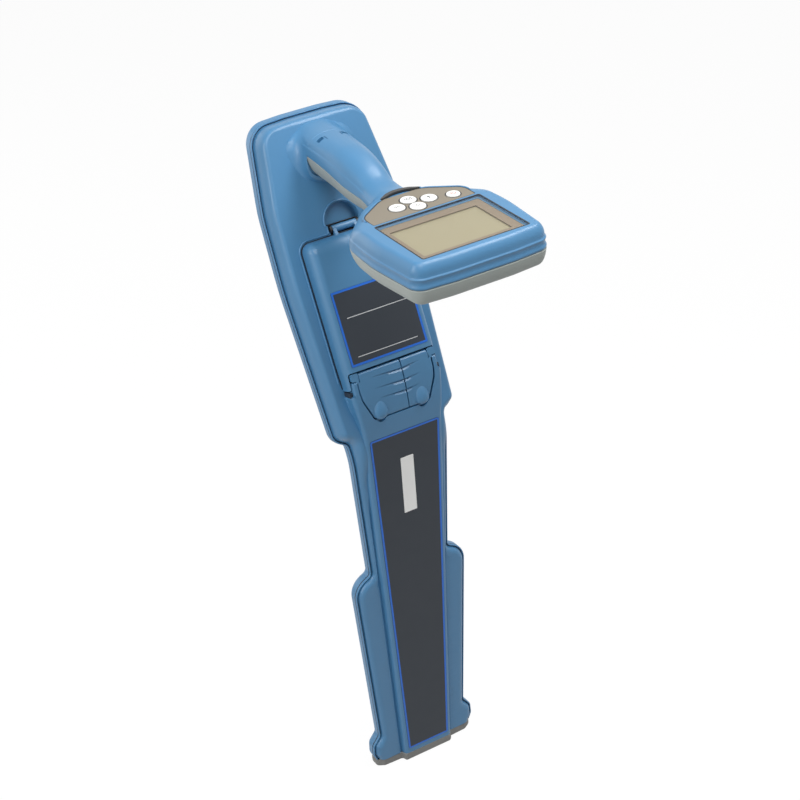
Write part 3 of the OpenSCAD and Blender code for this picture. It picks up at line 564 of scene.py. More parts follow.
def spine_ridge():
    """The spine and its rib, cut out for the flaps and for fingers below them."""
    corners = [(SPINE_LOW_HALF, FOOT_H, 0), (SPINE_HALF, SPINE_TOP, 0), (RIDGE_HALF, RIDGE_TOP, 2, 0),
               (RIB_HALF, RIDGE_TOP + 0.8, 0.5, 0.4), (RIB_HALF, RIB_TOP, 1.8, 0.4)]
    sides = [(-1.2, -7.0), (-0.8, -6.4), (-0.6, -5.6), (-0.4, -4.6)]
    round_over = [(-0.2, -3.7), (0.1, -2.9), (0.5, -2.0), (1.1, -1.2), (1.9, -0.6), (2.9, -0.2), (4.2, 0)]
    rings = [(-1.2, spine_base), *((i, wing_level(part)) for i, part in sides), *round_over]
    ridge = loft("ridge", corners, rings, face, first_share=0)
    outline = shield(FLAP_LOW - RUN_GAP, FLAP_HALF + RUN_GAP, NOTCH_TOP + 3)
    pocket = loft("pocket", outline, [(0, -POCKET), (0, CLEAR)], face)
    reliefs = [prism("relief", circle(side * BUMP_X, RELIEF_S, RELIEF_R, 32), -RELIEF_DEPTH, CLEAR, face)
               for side in SIDES]
    return boolean(ridge, [pocket, *reliefs])


# Height lines along the head and handle: the joint of its shells, the top and the underside
PART_LINE = [(-90, 0), (-54, 2), (-16, 7.2), (14, 11.3), (50, 18.8), (78, 23), (100, 25)]
CROWN_LINE = [(-90, 0), (-36, 0), (-22, -1.8), (-8, 0.8), (8, 9), (25, 15), (45, 18), (100, 19.2)]
KEEL_LINE = [(-90, -HEAD_LOWER), (-46, 1 - HEAD_LOWER), (-16, -10), (20, -9), (55, -4.5), (100, -0.5)]
GRIP_Y = 35
ROOT_GROW = 2.5
ROOT_RUN = 60
THROAT_IN = 4
THROAT_RUN = 50


def part_z(y):
    return HEAD_PART + curve(y, PART_LINE)


def crown(y):
    return HEAD_Z + curve(y, CROWN_LINE)


def keel(y):
    return HEAD_PART + curve(y, KEEL_LINE)


def handle_x(y):
    root, throat = smooth((y - GRIP_Y) / ROOT_RUN), smooth((GRIP_Y - y) / THROAT_RUN)
    return HANDLE_HALF + ROOT_GROW * root - THROAT_IN * throat


COLLAR_MOUTH = HANDLE_END - 17
COLLAR_FLARE = 11.5
COLLAR_TOP_FLARE = 1.5
COLLAR_TOP_SPREAD = 1.15
COLLAR_H = 17
COLLAR_SINK = 1.2
COLLAR_LIMIT = PADDLE_TOP - 9.5
COLLAR_SQUARE = 0.82
# Rings of the collar: distance behind its mouth and growth over the handle
COLLAR_LIP = [(1.6, -0.8), (0.4, -0.3), (0, 0.05), (0.3, 0.35)]
COLLAR_GROW = 0.45
COLLAR_RINGS = [*COLLAR_LIP, *((0.9 + 1.4 * i, COLLAR_GROW) for i in range(34))]


def handle_collar():
    """A flare round the handle's root that runs out into the field, below the top shoulder."""
    a = np.linspace(0, 2 * pi, ROUND, endpoint=False)
    oval = np.stack([np.sign(v) * abs(v) ** COLLAR_SQUARE for v in (np.cos(a), np.sin(a))], -1)
    reach = COLLAR_FLARE + (COLLAR_TOP_FLARE - COLLAR_FLARE) * smooth(np.sin(a) * COLLAR_TOP_SPREAD)
    top, bottom = crown(COLLAR_MOUTH), keel(COLLAR_MOUTH)
    middle = (top + bottom) / 2
    size = np.array([handle_x(COLLAR_MOUTH), (top - bottom) / 2])
    out, up = np.array([-cos(LEAN), sin(LEAN)]), np.array([sin(LEAN), cos(LEAN)])

    def spots(y, ring):
        return np.stack([np.full(ROUND, y), middle + ring[:, 1]], -1) - CORE_END[1:]

    loops = []
    for back, grow in COLLAR_RINGS:
        y = COLLAR_MOUTH + back
        h = spots(y, oval * (size + grow)) @ out - FIELD_RISE
        u = np.clip(1 - h / COLLAR_H, 0, 1) if grow == COLLAR_GROW else np.zeros(ROUND)
        ring = oval * (size + grow + (reach * (1 - np.sqrt(np.maximum(1 - u * u, 0))))[:, None])
        spot = spots(y, ring)
        s = np.minimum(CORE_BEND_END + spot @ up, COLLAR_LIMIT)
        loops.append(core(ring[:, 0], s, np.maximum(spot @ out, FIELD_RISE - COLLAR_SINK)))
    return new_piece("collar", np.concatenate(loops), capped(ROUND, len(loops)))


LIP_OUT = 2.0
LIP_X = DOOR_HALF + LIP_OUT
LIP_TOP = DOOR_TOP + LIP_OUT + 0.4
LIP_LOW = RAIL_LOW - FACE_SHIFT + 8
LIP_CORNER = DOOR_CORNER + LIP_OUT
LIP_SLOT_X = SLOT_HALF + 1.6
LIP_SCOOP_R = SCOOP_R + 1.3
LIP_TURN = 2
LIP_W = 1.7
LIP_H = 0.95
LIP_SINK = 0.3
LIP_TAPER = 3


def field_lips():
    """Thin raised lips round the door, the hinge slot and the scoop above it."""
    a = np.linspace(0, pi / 2, 12)
    inner_x, inner_top = LIP_X - LIP_CORNER, LIP_TOP - LIP_CORNER
    side = np.stack([np.full(30, LIP_X), np.linspace(LIP_LOW, inner_top, 30)], -1)
    bend = np.stack([inner_x + LIP_CORNER * np.cos(a), inner_top + LIP_CORNER * np.sin(a)], -1)
    turn_x = LIP_SLOT_X + LIP_TURN
    across = np.stack([np.linspace(inner_x - 1, turn_x, 8), np.full(8, LIP_TOP)], -1)
    turn_in = np.stack([turn_x - LIP_TURN * np.sin(a), LIP_TOP + LIP_TURN - LIP_TURN * np.cos(a)], -1)
    up = np.array([[LIP_SLOT_X, SLOT_TOP - 1.5]])
    arc = np.linspace(atan2(SLOT_TOP - SCOOP_S, LIP_SLOT_X), pi / 2, 20)
    round_scoop = np.stack([LIP_SCOOP_R * np.cos(arc), SCOOP_S + LIP_SCOOP_R * np.sin(arc)], -1)
    half = np.concatenate([side, bend, across, turn_in, up, round_scoop])
    path = np.concatenate([half, (half[:-1] * (-1, 1))[::-1]])
    normals = np.tile([0, -cos(LEAN), sin(LEAN)], (len(path), 1))
    return bead("lips", core(*path.T, FIELD_RISE), normals, LIP_W, LIP_H, LIP_SINK, LIP_TAPER)


def bay_block(name, grow, corner, low, high):
    """A block over the battery bay, grown on all sides."""
    loop = rounded(TRAY_HALF + grow, TRAY_LEN / 2 + grow, corner, (0, BAY_MID))
    return prism(name, loop, low, high, core)


def front_shell():
    skin = [(0, HALF_GAP), *(front_ring(inset) for inset in RIM_INSETS)]
    plate = loft("front_shell_skin", BLADE, skin, core, first_share=0)
    depth = RIM_H - WALL
    rings = [(i, (lambda s, k=k: depth + k * front_rise(s))) for i, k in FRONT_ROOM]
    room = loft("room", HOLLOW, [(FRONT_ROOM[0][0], -ROOM_CUT), *rings], core, first_share=0, edge=8)
    boolean(plate, [room, spine_valley()])
    under, over = FIELD_RISE - 1, FIELD_RISE + 3
    well_loop = rounded(SLOT_HALF + SLOT_WALL, SLOT_LEN / 2 + SLOT_WALL, 1, (0, SLOT_MID))
    well = prism("well", well_loop, SLOT_FLOOR - SLOT_WALL, under, core)
    dish = prism("dish", circle(0, SCOOP_S, SCOOP_R + SLOT_WALL, ROUND), SLOT_FLOOR, under, core)
    boolean(plate, [well, dish], "UNION")
    slot = prism("slot", rectangle(-SLOT_HALF, SLOT_LOW, SLOT_HALF, SLOT_TOP), SLOT_FLOOR, over, core)
    scoop = prism("scoop", circle(0, SCOOP_S, SCOOP_R, ROUND), SCOOP_FLOOR, over, core)
    bay = bay_block("bay", BAY_GAP, 2, -1, FIELD_RISE + 2)
    boolean(plate, [slot, scoop, bay])
    bay_lip = bay_block("bay_lip", 4.6, 5, FIELD_RISE - 1, FIELD_RISE + 5)
    boolean(bay_lip, [bay_block("bay_in", 2.8, 4, FIELD_RISE - 2, FIELD_RISE + 6)])
    return join(plate, [bay_lip, spine_ridge(), handle_collar(), field_lips()])


# Rows of screws: place along the housing and distance from its edge
SCREW_ROWS = [
    (58, 12), (WING_TOP - 27, 11.5), (306, 10.5), (NECK_TOP + 25, 14.5), (545, 14.5), (PADDLE_TOP - 29, 15)]
SCREW_SINK = 4.95
SCREW_R = 3.4


def rear_shell():
    skin = [(0, -HALF_GAP), *profile(REAR_ROUND, REAR_STEPS)]
    plate = loft("rear_shell_skin", BLADE, skin, rear_place, first_share=0)
    room = loft("rear_room", HOLLOW, REAR_ROOM, rear_place, first_share=0, edge=8)
    low, high = -REAR_DEPTH - CLEAR, -REAR_DEPTH + SCREW_SINK
    half, way = zip(*(c[:2] for c in BLADE))
    spots = [(side * (np.interp(s, way, half) - gap), s) for s, gap in SCREW_ROWS for side in SIDES]
    sinks = [prism("sink", circle(*spot, SCREW_R, SMALL_ROUND), low, high, core) for spot in spots]
    return boolean(plate, [room, join(sinks[0], sinks[1:])])


FOOT_ROUND = [(3.6, 0), (2.2, 0.25), (1.2, 0.9), (0.5, 2.0), (0.1, 3.6), (0, 5), (0, 7)]
FOOT_STEPS = 12
FOOT_HALF = EAR_HALF - 2.2


def foot_bumper():
    front = PART_Y - WING_RISE
    rear = PART_Y + REAR_DEPTH
    corners = [(SPINE_LOW_HALF - 0.2, FRONT_Y - 0.1, 3), (SPINE_LOW_HALF + 1.4, front, 2),
               (EAR_HALF - 10, front + 0.9, 5), (FOOT_HALF, PART_Y - 1.4, 5),
               (FOOT_HALF, rear - 5, 5), (EAR_HALF - 9, rear - 0.3, 5), (20, rear, 0)]
    rings = [*profile(FOOT_ROUND, FOOT_STEPS), (0, FOOT_H - 0.5), (0.5, FOOT_H)]
    return loft("foot_bumper_skin", corners, rings, flat, edge=5)


# Painted shade in the rim groove and the hinge slot, and a dark cord in the joint between the shells
CORD_EDGE = 0.03


def groove_shade_and_joint_cord():
    """Painted shade as a dark strip in the groove behind the bead, and a dark cord in the joint between the
    shells.
    """
    # The dark strip on the groove floor is painted shade
    groove = edging("groove_shade_and_joint_cord", BLADE, (1.68, 2.3), 1.02, 1.2, core)
    half = HALF_GAP - CORD_EDGE
    return join(groove, [edging("joint_cord", BLADE, (0.12, 1.6), -half, half, core)])


SLOT_SHADE_GAP = 0.06
SLOT_SHADE_IN = 0.5
SLOT_SHADE_LOW = SLOT_FLOOR + 0.02


def hinge_slot_shade():
    """Painted shade: dark walls and a dark floor in the slot that the door's hinge turns in."""
    outer, inner = (rounded(SLOT_HALF - i, SLOT_LEN / 2 - i, 0.8, (0, SLOT_MID))
                    for i in (SLOT_SHADE_GAP, SLOT_SHADE_IN))
    walls = strip("hinge_slot_shade", outer, inner, SLOT_SHADE_LOW, FIELD_RISE - 0.7, core)
    return join(walls, [prism("slot_floor_shade", inner, SLOT_SHADE_LOW, SLOT_FLOOR + 0.4, core)])


# Battery door
DOOR_BASE = FIELD_RISE + 1.2 - DOOR_RISE
DOOR_ROUND = [(0, DOOR_BASE), (0.05, -13), (0.25, -10), (0.7, -7.2), (1.5, -4.8), (2.7, -3.0), (4.2, -1.6),
              (6, -0.65), (8, -0.12), (10, 0)]
DOOR_STEPS = 22
DOOR_SIDES = [(DOOR_HALF - 0.7, RAIL_LOW, 1.5), (DOOR_HALF, RAIL_LOW + 24, 0)]
# Insets and heights of the room inside the door, both from its wall
DOOR_ROOM = [(0.1, -9 + DOOR_WALL), (1, -3), (3, -1), (6, 0)]
HINGE_ARM = [(-8, 2.9), (-8, 7.2), (-4.5, 5.8), (0.6, 3.4), (0, 0), (-3.4, 0.5)]
HINGE_ARM_W = 3.2


def battery_door():
    corners = [*DOOR_SIDES, (DOOR_HALF, DOOR_TOP_T, DOOR_CORNER, 1.5)]
    door = loft("battery_door_skin", corners, profile(DOOR_ROUND, DOOR_STEPS), face)
    inner = [(DOOR_HALF, NOTCH_TOP, 2), (DOOR_HALF, DOOR_TOP_T, DOOR_CORNER, 1.2)]
    rings = [(DOOR_WALL, DOOR_BASE - 3), *((DOOR_WALL + i, h - DOOR_WALL) for i, h in DOOR_ROOM)]
    hollow = loft("door_room", inner, rings, face)
    notch_corners = [(NOTCH_HALF, RAIL_LOW - 8, 0), (NOTCH_HALF, NOTCH_TOP, 2.5)]
    notch = loft("notch", notch_corners, [(0, DOOR_BASE - CLEAR), (0, CLEAR)], face)
    boolean(door, [hollow, notch])

    def across(s, h, x):
        return core(x, HINGE_S + s, HINGE_H + h)

    barrel = prism("barrel", circle(0, 0, HINGE_KNUCKLE_R, SMALL_ROUND), -HINGE_HALF, HINGE_HALF, across)
    arms = [prism("arm", HINGE_ARM, *sorted((side * (HINGE_HALF - HINGE_ARM_W), side * HINGE_HALF)), across)
            for side in SIDES]
    return join(door, [barrel, *arms])


def door_gasket():
    corners = [*DOOR_SIDES, (DOOR_HALF, DOOR_TOP_T, DOOR_CORNER)]
    gasket = edging("door_gasket", corners, (-1.0, 1.6), DOOR_BASE - 1.6, DOOR_BASE - 0.5, face, edge=5)
    plugs = []
    for side in SIDES:
        loop = rounded(1.5, 2.6, 0.5, (side * (DOOR_HALF - 2.2), RAIL_LOW - 3.2))
        plugs.append(prism("plug", loop, DOOR_BASE, -4.2, face))
    return join(gasket, plugs)


# Latch flaps
FLAP_EDGE = [(0, -FLAP_T - 0.2), (0, -1.5), (0.12, -1.0), (0.4, -0.55), (0.9, -0.2), (1.6, -0.05), (2.4, 0)]
SPLIT_GAP = 0.5
# Grip grooves: place up the flap and reach, then the section of the cut and how it runs out
LOUVRES = ((FLAP_LOW + 40.2, 27), (FLAP_LOW + 29, 26), (FLAP_LOW + 18.8, 22.5))
LOUVRE_CUT = [(0.35, 0.8), (0.1, -1.9), (-0.5, -1.95), (-3.3, 0.1), (-3.6, 0.8)]
LOUVRE_STEPS = 24
LOUVRE_FADE = 1.6
LOUVRE_THIN = 0.4
LOUVRE_RISE = 1.3
LOUVRE_END = 0.06
LOUVRE_OPEN = 0.5


def louvre(s, inner, outer):
    """A cutter for a grip groove that is deepest at the split and runs out sideways."""
    t = np.linspace(0, 1, LOUVRE_STEPS)
    points = []
    for x, k, u in zip(np.linspace(inner, outer, LOUVRE_STEPS), 1 - t ** LOUVRE_FADE, t):
        for ds, h in LOUVRE_CUT:
            level = h * k + LOUVRE_END * u if h < LOUVRE_OPEN else h
            points.append(face(x, s + ds * (LOUVRE_THIN + (1 - LOUVRE_THIN) * k) + LOUVRE_RISE * u, level))
    return new_piece("louvre", points, capped(len(LOUVRE_CUT), LOUVRE_STEPS))


# Thumb catch: radius and height of its rings, and how they stretch up the flap and lean down it
BUMP_RINGS = [
    (7.2, -0.6), (7.1, 0.1), (6.8, 0.9), (6.2, 1.7), (5.4, 2.4), (4.3, 3.0), (3.0, 3.4),
    (1.5, 3.6), (0.3, 3.65)]
BUMP_COUNT = 36
BUMP_STRETCH = 1.6
BUMP_LESS = 0.16
BUMP_STEEP = 0.85
BUMP_LEAN = 0.25


def thumb_bump(side):
    """A rounded cone that is steep at its lower end and runs out up the flap."""
    loops = []
    for r, h in BUMP_RINGS:
        x, s = circle(side * BUMP_X, 0, r, BUMP_COUNT).T
        stretch = np.where(s > 0, BUMP_STRETCH - BUMP_LESS * h, BUMP_STEEP)
        loops.append(face(x, BUMP_S - BUMP_LEAN * h + s * stretch, h))
    return new_piece("bump", np.concatenate(loops), capped(BUMP_COUNT, len(loops)))


BAR_EDGE = 0.3


def hinge_bar(name, r, x0, x1):
    """A round bar on the flaps' axis, with broken edges."""
    hub = face(0, FLAP_AXIS, FLAP_AXIS_H)
    rings = ((x0, r - BAR_EDGE), (x0 + BAR_EDGE, r), (x1 - BAR_EDGE, r), (x1, r - BAR_EDGE))
    points = np.concatenate([flat(x, *circle(*hub[1:], q, SMALL_ROUND).T) for x, q in rings])
    return new_piece(name, points, capped(SMALL_ROUND, len(rings)))


# Box that keeps one flap of the two, and the heights of lug and hook
KEEP_X = 100
KEEP_Y = (-100, 200)
KEEP_Z = (340, 560)
LUG_LOW = -3.4
LUG_HIGH = -0.35
LUG_HALF = (LUG_OUT - LUG_IN) / 2
LUG_MID = (LUG_OUT + LUG_IN) / 2
KNUCKLE_GAP = 0.7
KNUCKLE_END = LUG_IN - 0.6
PIN_GAP = 1.5


def latch(side, name):
    flap = loft(name, shield(FLAP_LOW, FLAP_HALF, FLAP_AXIS), FLAP_EDGE, face)
    low, high = sorted((FLAP_SPLIT + side * SPLIT_GAP, side * KEEP_X))
    boolean(flap, [prism("keep", rectangle(low, KEEP_Y[0], high, KEEP_Y[1]), *KEEP_Z, flat)], "INTERSECT")
    corner = rectangle(side * (LUG_IN - 0.4), RIB_TOP - 1.4, side * 60, FLAP_AXIS + 9)
    inner = FLAP_SPLIT + side * 0.1
    cutters = [louvre(s, inner, side * reach) for s, reach in LOUVRES]
    boolean(flap, [prism("corner", corner, -8, 5, face), *cutters])
    lug = rounded(LUG_HALF, 3.6, 1.6, (side * LUG_MID, FLAP_AXIS - 0.2))
    hook = rounded(1.6, 3.1, 1.2, (side * (LUG_IN + 2.1), FLAP_AXIS - 3.2))
    lobes = [prism("lobe", loop, LUG_LOW, LUG_HIGH, face) for loop in (lug, hook)]
    ends = sorted((FLAP_SPLIT + side * KNUCKLE_GAP, side * KNUCKLE_END))
    return join(flap, [*lobes, thumb_bump(side), hinge_bar("knuckle", KNUCKLE_R, *ends)])


def latch_pins():
    left = hinge_bar("latch_pin_rods", PIN_R, -PIN_HALF, FLAP_SPLIT - PIN_GAP)
    return join(left, [hinge_bar("rod", PIN_R, FLAP_SPLIT + PIN_GAP, PIN_HALF)])


def latch_gap_shade():
    """A dark bed in the pocket under the flaps: painted shade that shows black through the gaps round them.
    """
    outline = shield(FLAP_LOW - RUN_GAP, FLAP_HALF + RUN_GAP, FLAP_AXIS - 4.5)
    return loft("latch_gap_shade", outline, [(0.05, -POCKET - 0.2), (0.05, -POCKET + 1.1)], face)


# Display head and handle
def handle_share(y):
    """How far the handle's side moves per inset, so that its top closes in the middle."""
    return (float(handle_x(y)) - 0.6) / HEAD_ROUND


ROOT_HALF = HANDLE_HALF + ROOT_GROW
HEAD_SIDES = [
    (30, -HEAD_REACH, 60), (HEAD_HALF - 4.3, -HEAD_REACH + 3, 13), (HEAD_HALF + 0.7, -HEAD_REACH + 64, 140),
    (HEAD_HALF - 1.9, -HEAD_REACH + 108.6, 22, 2.4), (HANDLE_HALF + 18.5, -HEAD_REACH + 138.8, 30, 2.4),
    (HANDLE_HALF - 1.5, -HEAD_REACH + 150, 10, handle_share(-6)),
    *((float(handle_x(y)), y, 0, handle_share(y)) for y in (-6, 4, 14, 24, 35, 50, 64, 78, 88))]
HEAD = [*HEAD_SIDES, (ROOT_HALF, HANDLE_END, 0, 0)]
HEAD_HOLLOW = [*HEAD_SIDES, (ROOT_HALF, HANDLE_END, 0)]
# Insets, shares of the height, and the detail of the front's ledge and bead
UPPER = [
    (0, 0, 0.5), (0, 0.02, 0.1), (0, 0.06, -0.1), (0, 0.1, 0), (0.05, 0.13, 0.6), (0.1, 0.2, 1.1),
    (0.2, 0.27, 1.0), (0.3, 0.33, 0.45), (0.4, 0.37, -0.2), (0.5, 0.4, -0.5), (0.65, 0.425, -0.35),
    (0.8, 0.445, 0.2), (0.95, 0.47, 0.45), (1.2, 0.54, 0.35), (1.6, 0.63, 0.1), (2.2, 0.72, 0),
    (2.9, 0.79, 0), (3.8, 0.86, 0), (4.8, 0.92, 0), (5.9, 0.965, 0), (7.2, 0.99, 0), (HEAD_ROUND, 1, 0)]
LOWER = [
    (HEAD_ROUND, 1), (7.4, 0.985), (6, 0.95), (4.6, 0.89), (3.4, 0.8), (2.2, 0.65), (1.2, 0.45),
    (0.6, 0.28), (0.2, 0.12), (0.05, 0.05), (0.4, 0.01)]
# Rooms inside the two shells: insets, shares of the height, and lifts
UPPER_ROOM = [(WALL - 0.2, 0, -2), (WALL + 0.1, 0.28, 0), (WALL + 1.2, 0.54, 0), (WALL + 3.2, 0.8, -1),
              (HEAD_ROUND - 0.1, 1, -WALL)]
LOWER_ROOM = [
    (HEAD_ROUND - 0.1, 1, WALL), (WALL + 3, 0.88, WALL), (WALL + 0.6, 0.45, 0), (WALL - 0.2, 0, 2)]
FADE_START = -100
FADE_RUN = 45


def head_fade(y):
    return 1 - smooth((y - FADE_START) / FADE_RUN)


def level(line, share, lift=0.0, seam=0.0):
    """Height at a share of the way from the joint to another height line, raised by a lift."""
    return lambda y: part_z(y) + seam + lift + share * (line(y) - part_z(y) - seam)


KEYPAD_FRONT = WINDOW_Y + WINDOW_LEN / 2 + 2.5
KEYPAD_HALF = WINDOW_HALF - 1.3
KEYPAD = [
    (KEYPAD_HALF, KEYPAD_FRONT, 2), (KEYPAD_HALF, KEYPAD_FRONT + 19, 14), (24, KEYPAD_FRONT + 38.5, 30),
    (6, KEYPAD_FRONT + 45.5, 20)]
BAND = [(21, KEYPAD_FRONT + 41, 0.5), (12, KEYPAD_FRONT + 47.5, 8), (4, KEYPAD_FRONT + 50, 12)]
KEY_MID = KEYPAD_FRONT + 18
KEY_X = -1.4
KEY_OUT = 16
KEY_STEP = 8
# Keys: place and radius
KEYS = {
    "left": (KEY_X - KEY_OUT, KEY_MID, KEY_R), "rear": (KEY_X, KEY_MID + KEY_STEP, KEY_R),
    "front": (KEY_X, KEY_MID - KEY_STEP, KEY_R), "right": (KEY_X + KEY_OUT, KEY_MID, KEY_R),
    "power": (KEYPAD_HALF - KEY_OUT, KEY_MID - 6.5, POWER_R)}
HEAD_CUT = (HEAD_Z - 8, HEAD_Z + 3)
SEAT_CUT = (PANEL_Z, HEAD_Z + 6)
SNAP_X = 12.5
SNAP_Y = HANDLE_END - 25.3
SNAP_LINE_IN = 4.6
SNAP_TOP = HEAD_Z + 22


def window_loop(grow, corner):
    return rounded(WINDOW_HALF + grow, WINDOW_LEN / 2 + grow, corner, (0, WINDOW_Y))


def plateau_lip():
    """A thin lip that hugs the rear of the keypad and the band behind it."""
    side = half_outline(KEYPAD, -0.9, edge=3)
    side = side[(side[:, 1] > KEYPAD_FRONT + 8) & (side[:, 0] > BAND[0][0] + 3)]
    x, y = mirrored(np.concatenate([side, half_outline(BAND, -0.8, edge=3)[4:]])).T
    normals = np.tile([0.0, 0, 1], (len(x), 1))
    return bead("plateau_lip", flat(x, y, crown(y) - 0.1), normals, 1.5, 0.6, sink=1.0, taper=6)


def head_top_shell():
    skin = [(i, level(crown, k, seam=HEAD_SEAM), detail) for i, k, detail in UPPER]
    top = loft("head_top_skin", HEAD, skin, flat, fade=head_fade, edge=3.5)
    rings = [(i, level(crown, k, lift)) for i, k, lift in UPPER_ROOM]
    room = loft("head_room", HEAD_HOLLOW, rings, flat, edge=6)
    cuts = [room, prism("glass_seat", window_loop(0, 2), GLASS_Z - GLASS_T, HEAD_CUT[1], flat),
            prism("glass_hole", window_loop(-3, 2), *HEAD_CUT, flat)]
    cuts += [loft(name, corners, [(0, z) for z in SEAT_CUT], flat)
             for name, corners in (("keypad_seat", KEYPAD), ("band_seat", BAND))]
    cuts += [prism("key_hole", circle(x, y, r + KEY_GAP), *HEAD_CUT, flat) for x, y, r in KEYS.values()]
    for side in SIDES:
        snap = rounded(3.2, 2.3, 0.6, (side * SNAP_X, SNAP_Y))
        line = rounded(0.4, 3.4, 0.3, (side * SNAP_X - side * SNAP_LINE_IN, SNAP_Y - 2.0))
        cuts.append(prism("snap", snap, HEAD_Z + 12, SNAP_TOP, flat))
        cuts.append(prism("snap_line", line, HEAD_Z + 14.6, SNAP_TOP, flat))
    return join(boolean(top, cuts), [plateau_lip()])


HEAD_SCREWS = [(side * x, y) for side in SIDES
               for x, y in ((HEAD_HALF - 14, -HEAD_REACH + 24), (HEAD_HALF - 11, -HEAD_REACH + 92))]
HEAD_SCREW_R = 3.2
HEAD_SCREW_SINK = 3.2
POST_R = 4


def head_bottom_shell():
    skin = [(i, level(keel, k, seam=-HEAD_SEAM)) for i, k in LOWER]
    under = loft("head_bottom_skin", HEAD, skin, flat, edge=3.5)
    rings = [(i, level(keel, k, lift)) for i, k, lift in LOWER_ROOM]
    room = loft("lower_room", HEAD_HOLLOW, rings, flat, edge=6)

    def columns(name, r, low, high):
        return [prism(name, circle(x, y, r, SMALL_ROUND), low, high, flat) for x, y in HEAD_SCREWS]

    boolean(under, [room])
    boolean(under, columns("post", POST_R, HEAD_UNDER + 1.5, HEAD_PART - 0.4), "UNION")
    return boolean(under, columns("sink", HEAD_SCREW_R, HEAD_UNDER - 2, HEAD_UNDER + HEAD_SCREW_SINK))


# Materials
def srgb(r, g, b):
    return tuple((v / 255 / 12.92) if v <= 10 else ((v / 255 + 0.055) / 1.055) ** 2.4 for v in (r, g, b))


def add_node(tree, kind, **values):
    node = tree.nodes.new(kind)
    for key, value in values.items():
        if key in node.inputs:
            node.inputs[key].default_value = value
        else:
            setattr(node, key, value)
    return node


def map_range(tree, value, low, high):
    node = add_node(tree, "ShaderNodeMapRange")
    node.inputs["To Min"].default_value = low
    node.inputs["To Max"].default_value = high
    tree.links.new(value, node.inputs["Value"])
    return node.outputs["Result"]


def seen_share(tree):
    """One for what is seen, also in reflections and through panes, and nought for plain light."""
    path = add_node(tree, "ShaderNodeLightPath")
    share = path.outputs["Is Camera Ray"]
    for kind in ("Is Glossy Ray", "Is Transmission Ray"):
        larger = add_node(tree, "ShaderNodeMath", operation="MAXIMUM")
        tree.links.new(share, larger.inputs[0])
        tree.links.new(path.outputs[kind], larger.inputs[1])
        share = larger.outputs[0]
    return share


ROUGH_LESS = 0.05
ROUGH_MORE = 0.07
GRAIN_HEIGHT = 0.0006


def moulded(name, rgb, rough, grain, depth, mottle, spec=0.5, metal=0.0):
    """A moulded finish: fine grain in the relief, soft changes of tone, and uneven gloss."""
    mat = bpy.data.materials.new(name)
    mat.use_nodes = True
    tree = mat.node_tree
    shader = tree.nodes["Principled BSDF"]
    link = tree.links.new
    colour = srgb(*rgb)
    place = add_node(tree, "ShaderNodeTexCoord")

    def noise(**values):
        node = add_node(tree, "ShaderNodeTexNoise", **values)
        link(place.outputs["Object"], node.inputs["Vector"])
        return node.outputs["Fac"]

    mix = add_node(tree, "ShaderNodeMix", data_type="RGBA")
    mix.inputs["A"].default_value = (*(c * (1 - mottle) for c in colour), 1)
    mix.inputs["B"].default_value = (*(min(c * (1 + mottle), 1) for c in colour), 1)
    link(noise(Scale=26.0, Detail=4.0, Roughness=0.6), mix.inputs["Factor"])
    link(mix.outputs["Result"], shader.inputs["Base Color"])
    gloss = map_range(tree, noise(Scale=60.0, Detail=3.0), rough - ROUGH_LESS, rough + ROUGH_MORE)
    link(gloss, shader.inputs["Roughness"])
    bump = add_node(tree, "ShaderNodeBump", Strength=depth, Distance=GRAIN_HEIGHT)
    link(noise(Scale=float(grain), Detail=2.0), bump.inputs["Height"])
    link(bump.outputs["Normal"], shader.inputs["Normal"])
    shader.inputs["Metallic"].default_value = metal
    shader.inputs["Specular IOR Level"].default_value = spec
    return mat


def bare_material(name):
    mat = bpy.data.materials.new(name)
    mat.use_nodes = True
    mat.node_tree.nodes.remove(mat.node_tree.nodes["Principled BSDF"])
    return mat


def mix_to_output(tree, share, first, second):
    mix = add_node(tree, "ShaderNodeMixShader")
    for i, source in enumerate((share, first, second)):
        tree.links.new(source, mix.inputs[i])
    tree.links.new(mix.outputs["Shader"], tree.nodes["Material Output"].inputs["Surface"])


def clear_pane(name):
    """Lets light straight through, with a sharp reflection that grows at low angles."""
    mat = bare_material(name)
    tree = mat.node_tree
    link = tree.links.new
    see = add_node(tree, "ShaderNodeBsdfTransparent", Color=(0.96, 0.965, 0.95, 1))
    shine = add_node(tree, "ShaderNodeBsdfGlossy", Roughness=0.06)
    edge = add_node(tree, "ShaderNodeFresnel", IOR=1.45)
    dust = add_node(tree, "ShaderNodeTexNoise", Scale=300.0, Detail=3.0)
    film = add_node(tree, "ShaderNodeBump", Strength=0.02, Distance=0.0003)
    link(dust.outputs["Fac"], film.inputs["Height"])
    link(film.outputs["Normal"], shine.inputs["Normal"])
    sides = add_node(tree, "ShaderNodeNewGeometry")
    front = add_node(tree, "ShaderNodeMath", operation="SUBTRACT")
    front.inputs[0].default_value = 1.0
    link(sides.outputs["Backfacing"], front.inputs[1])
    share = add_node(tree, "ShaderNodeMath", operation="MULTIPLY")
    link(edge.outputs["Fac"], share.inputs[0])
    link(front.outputs[0], share.inputs[1])
    mix_to_output(tree, share.outputs[0], see.outputs["BSDF"], shine.outputs["BSDF"])
    return mat


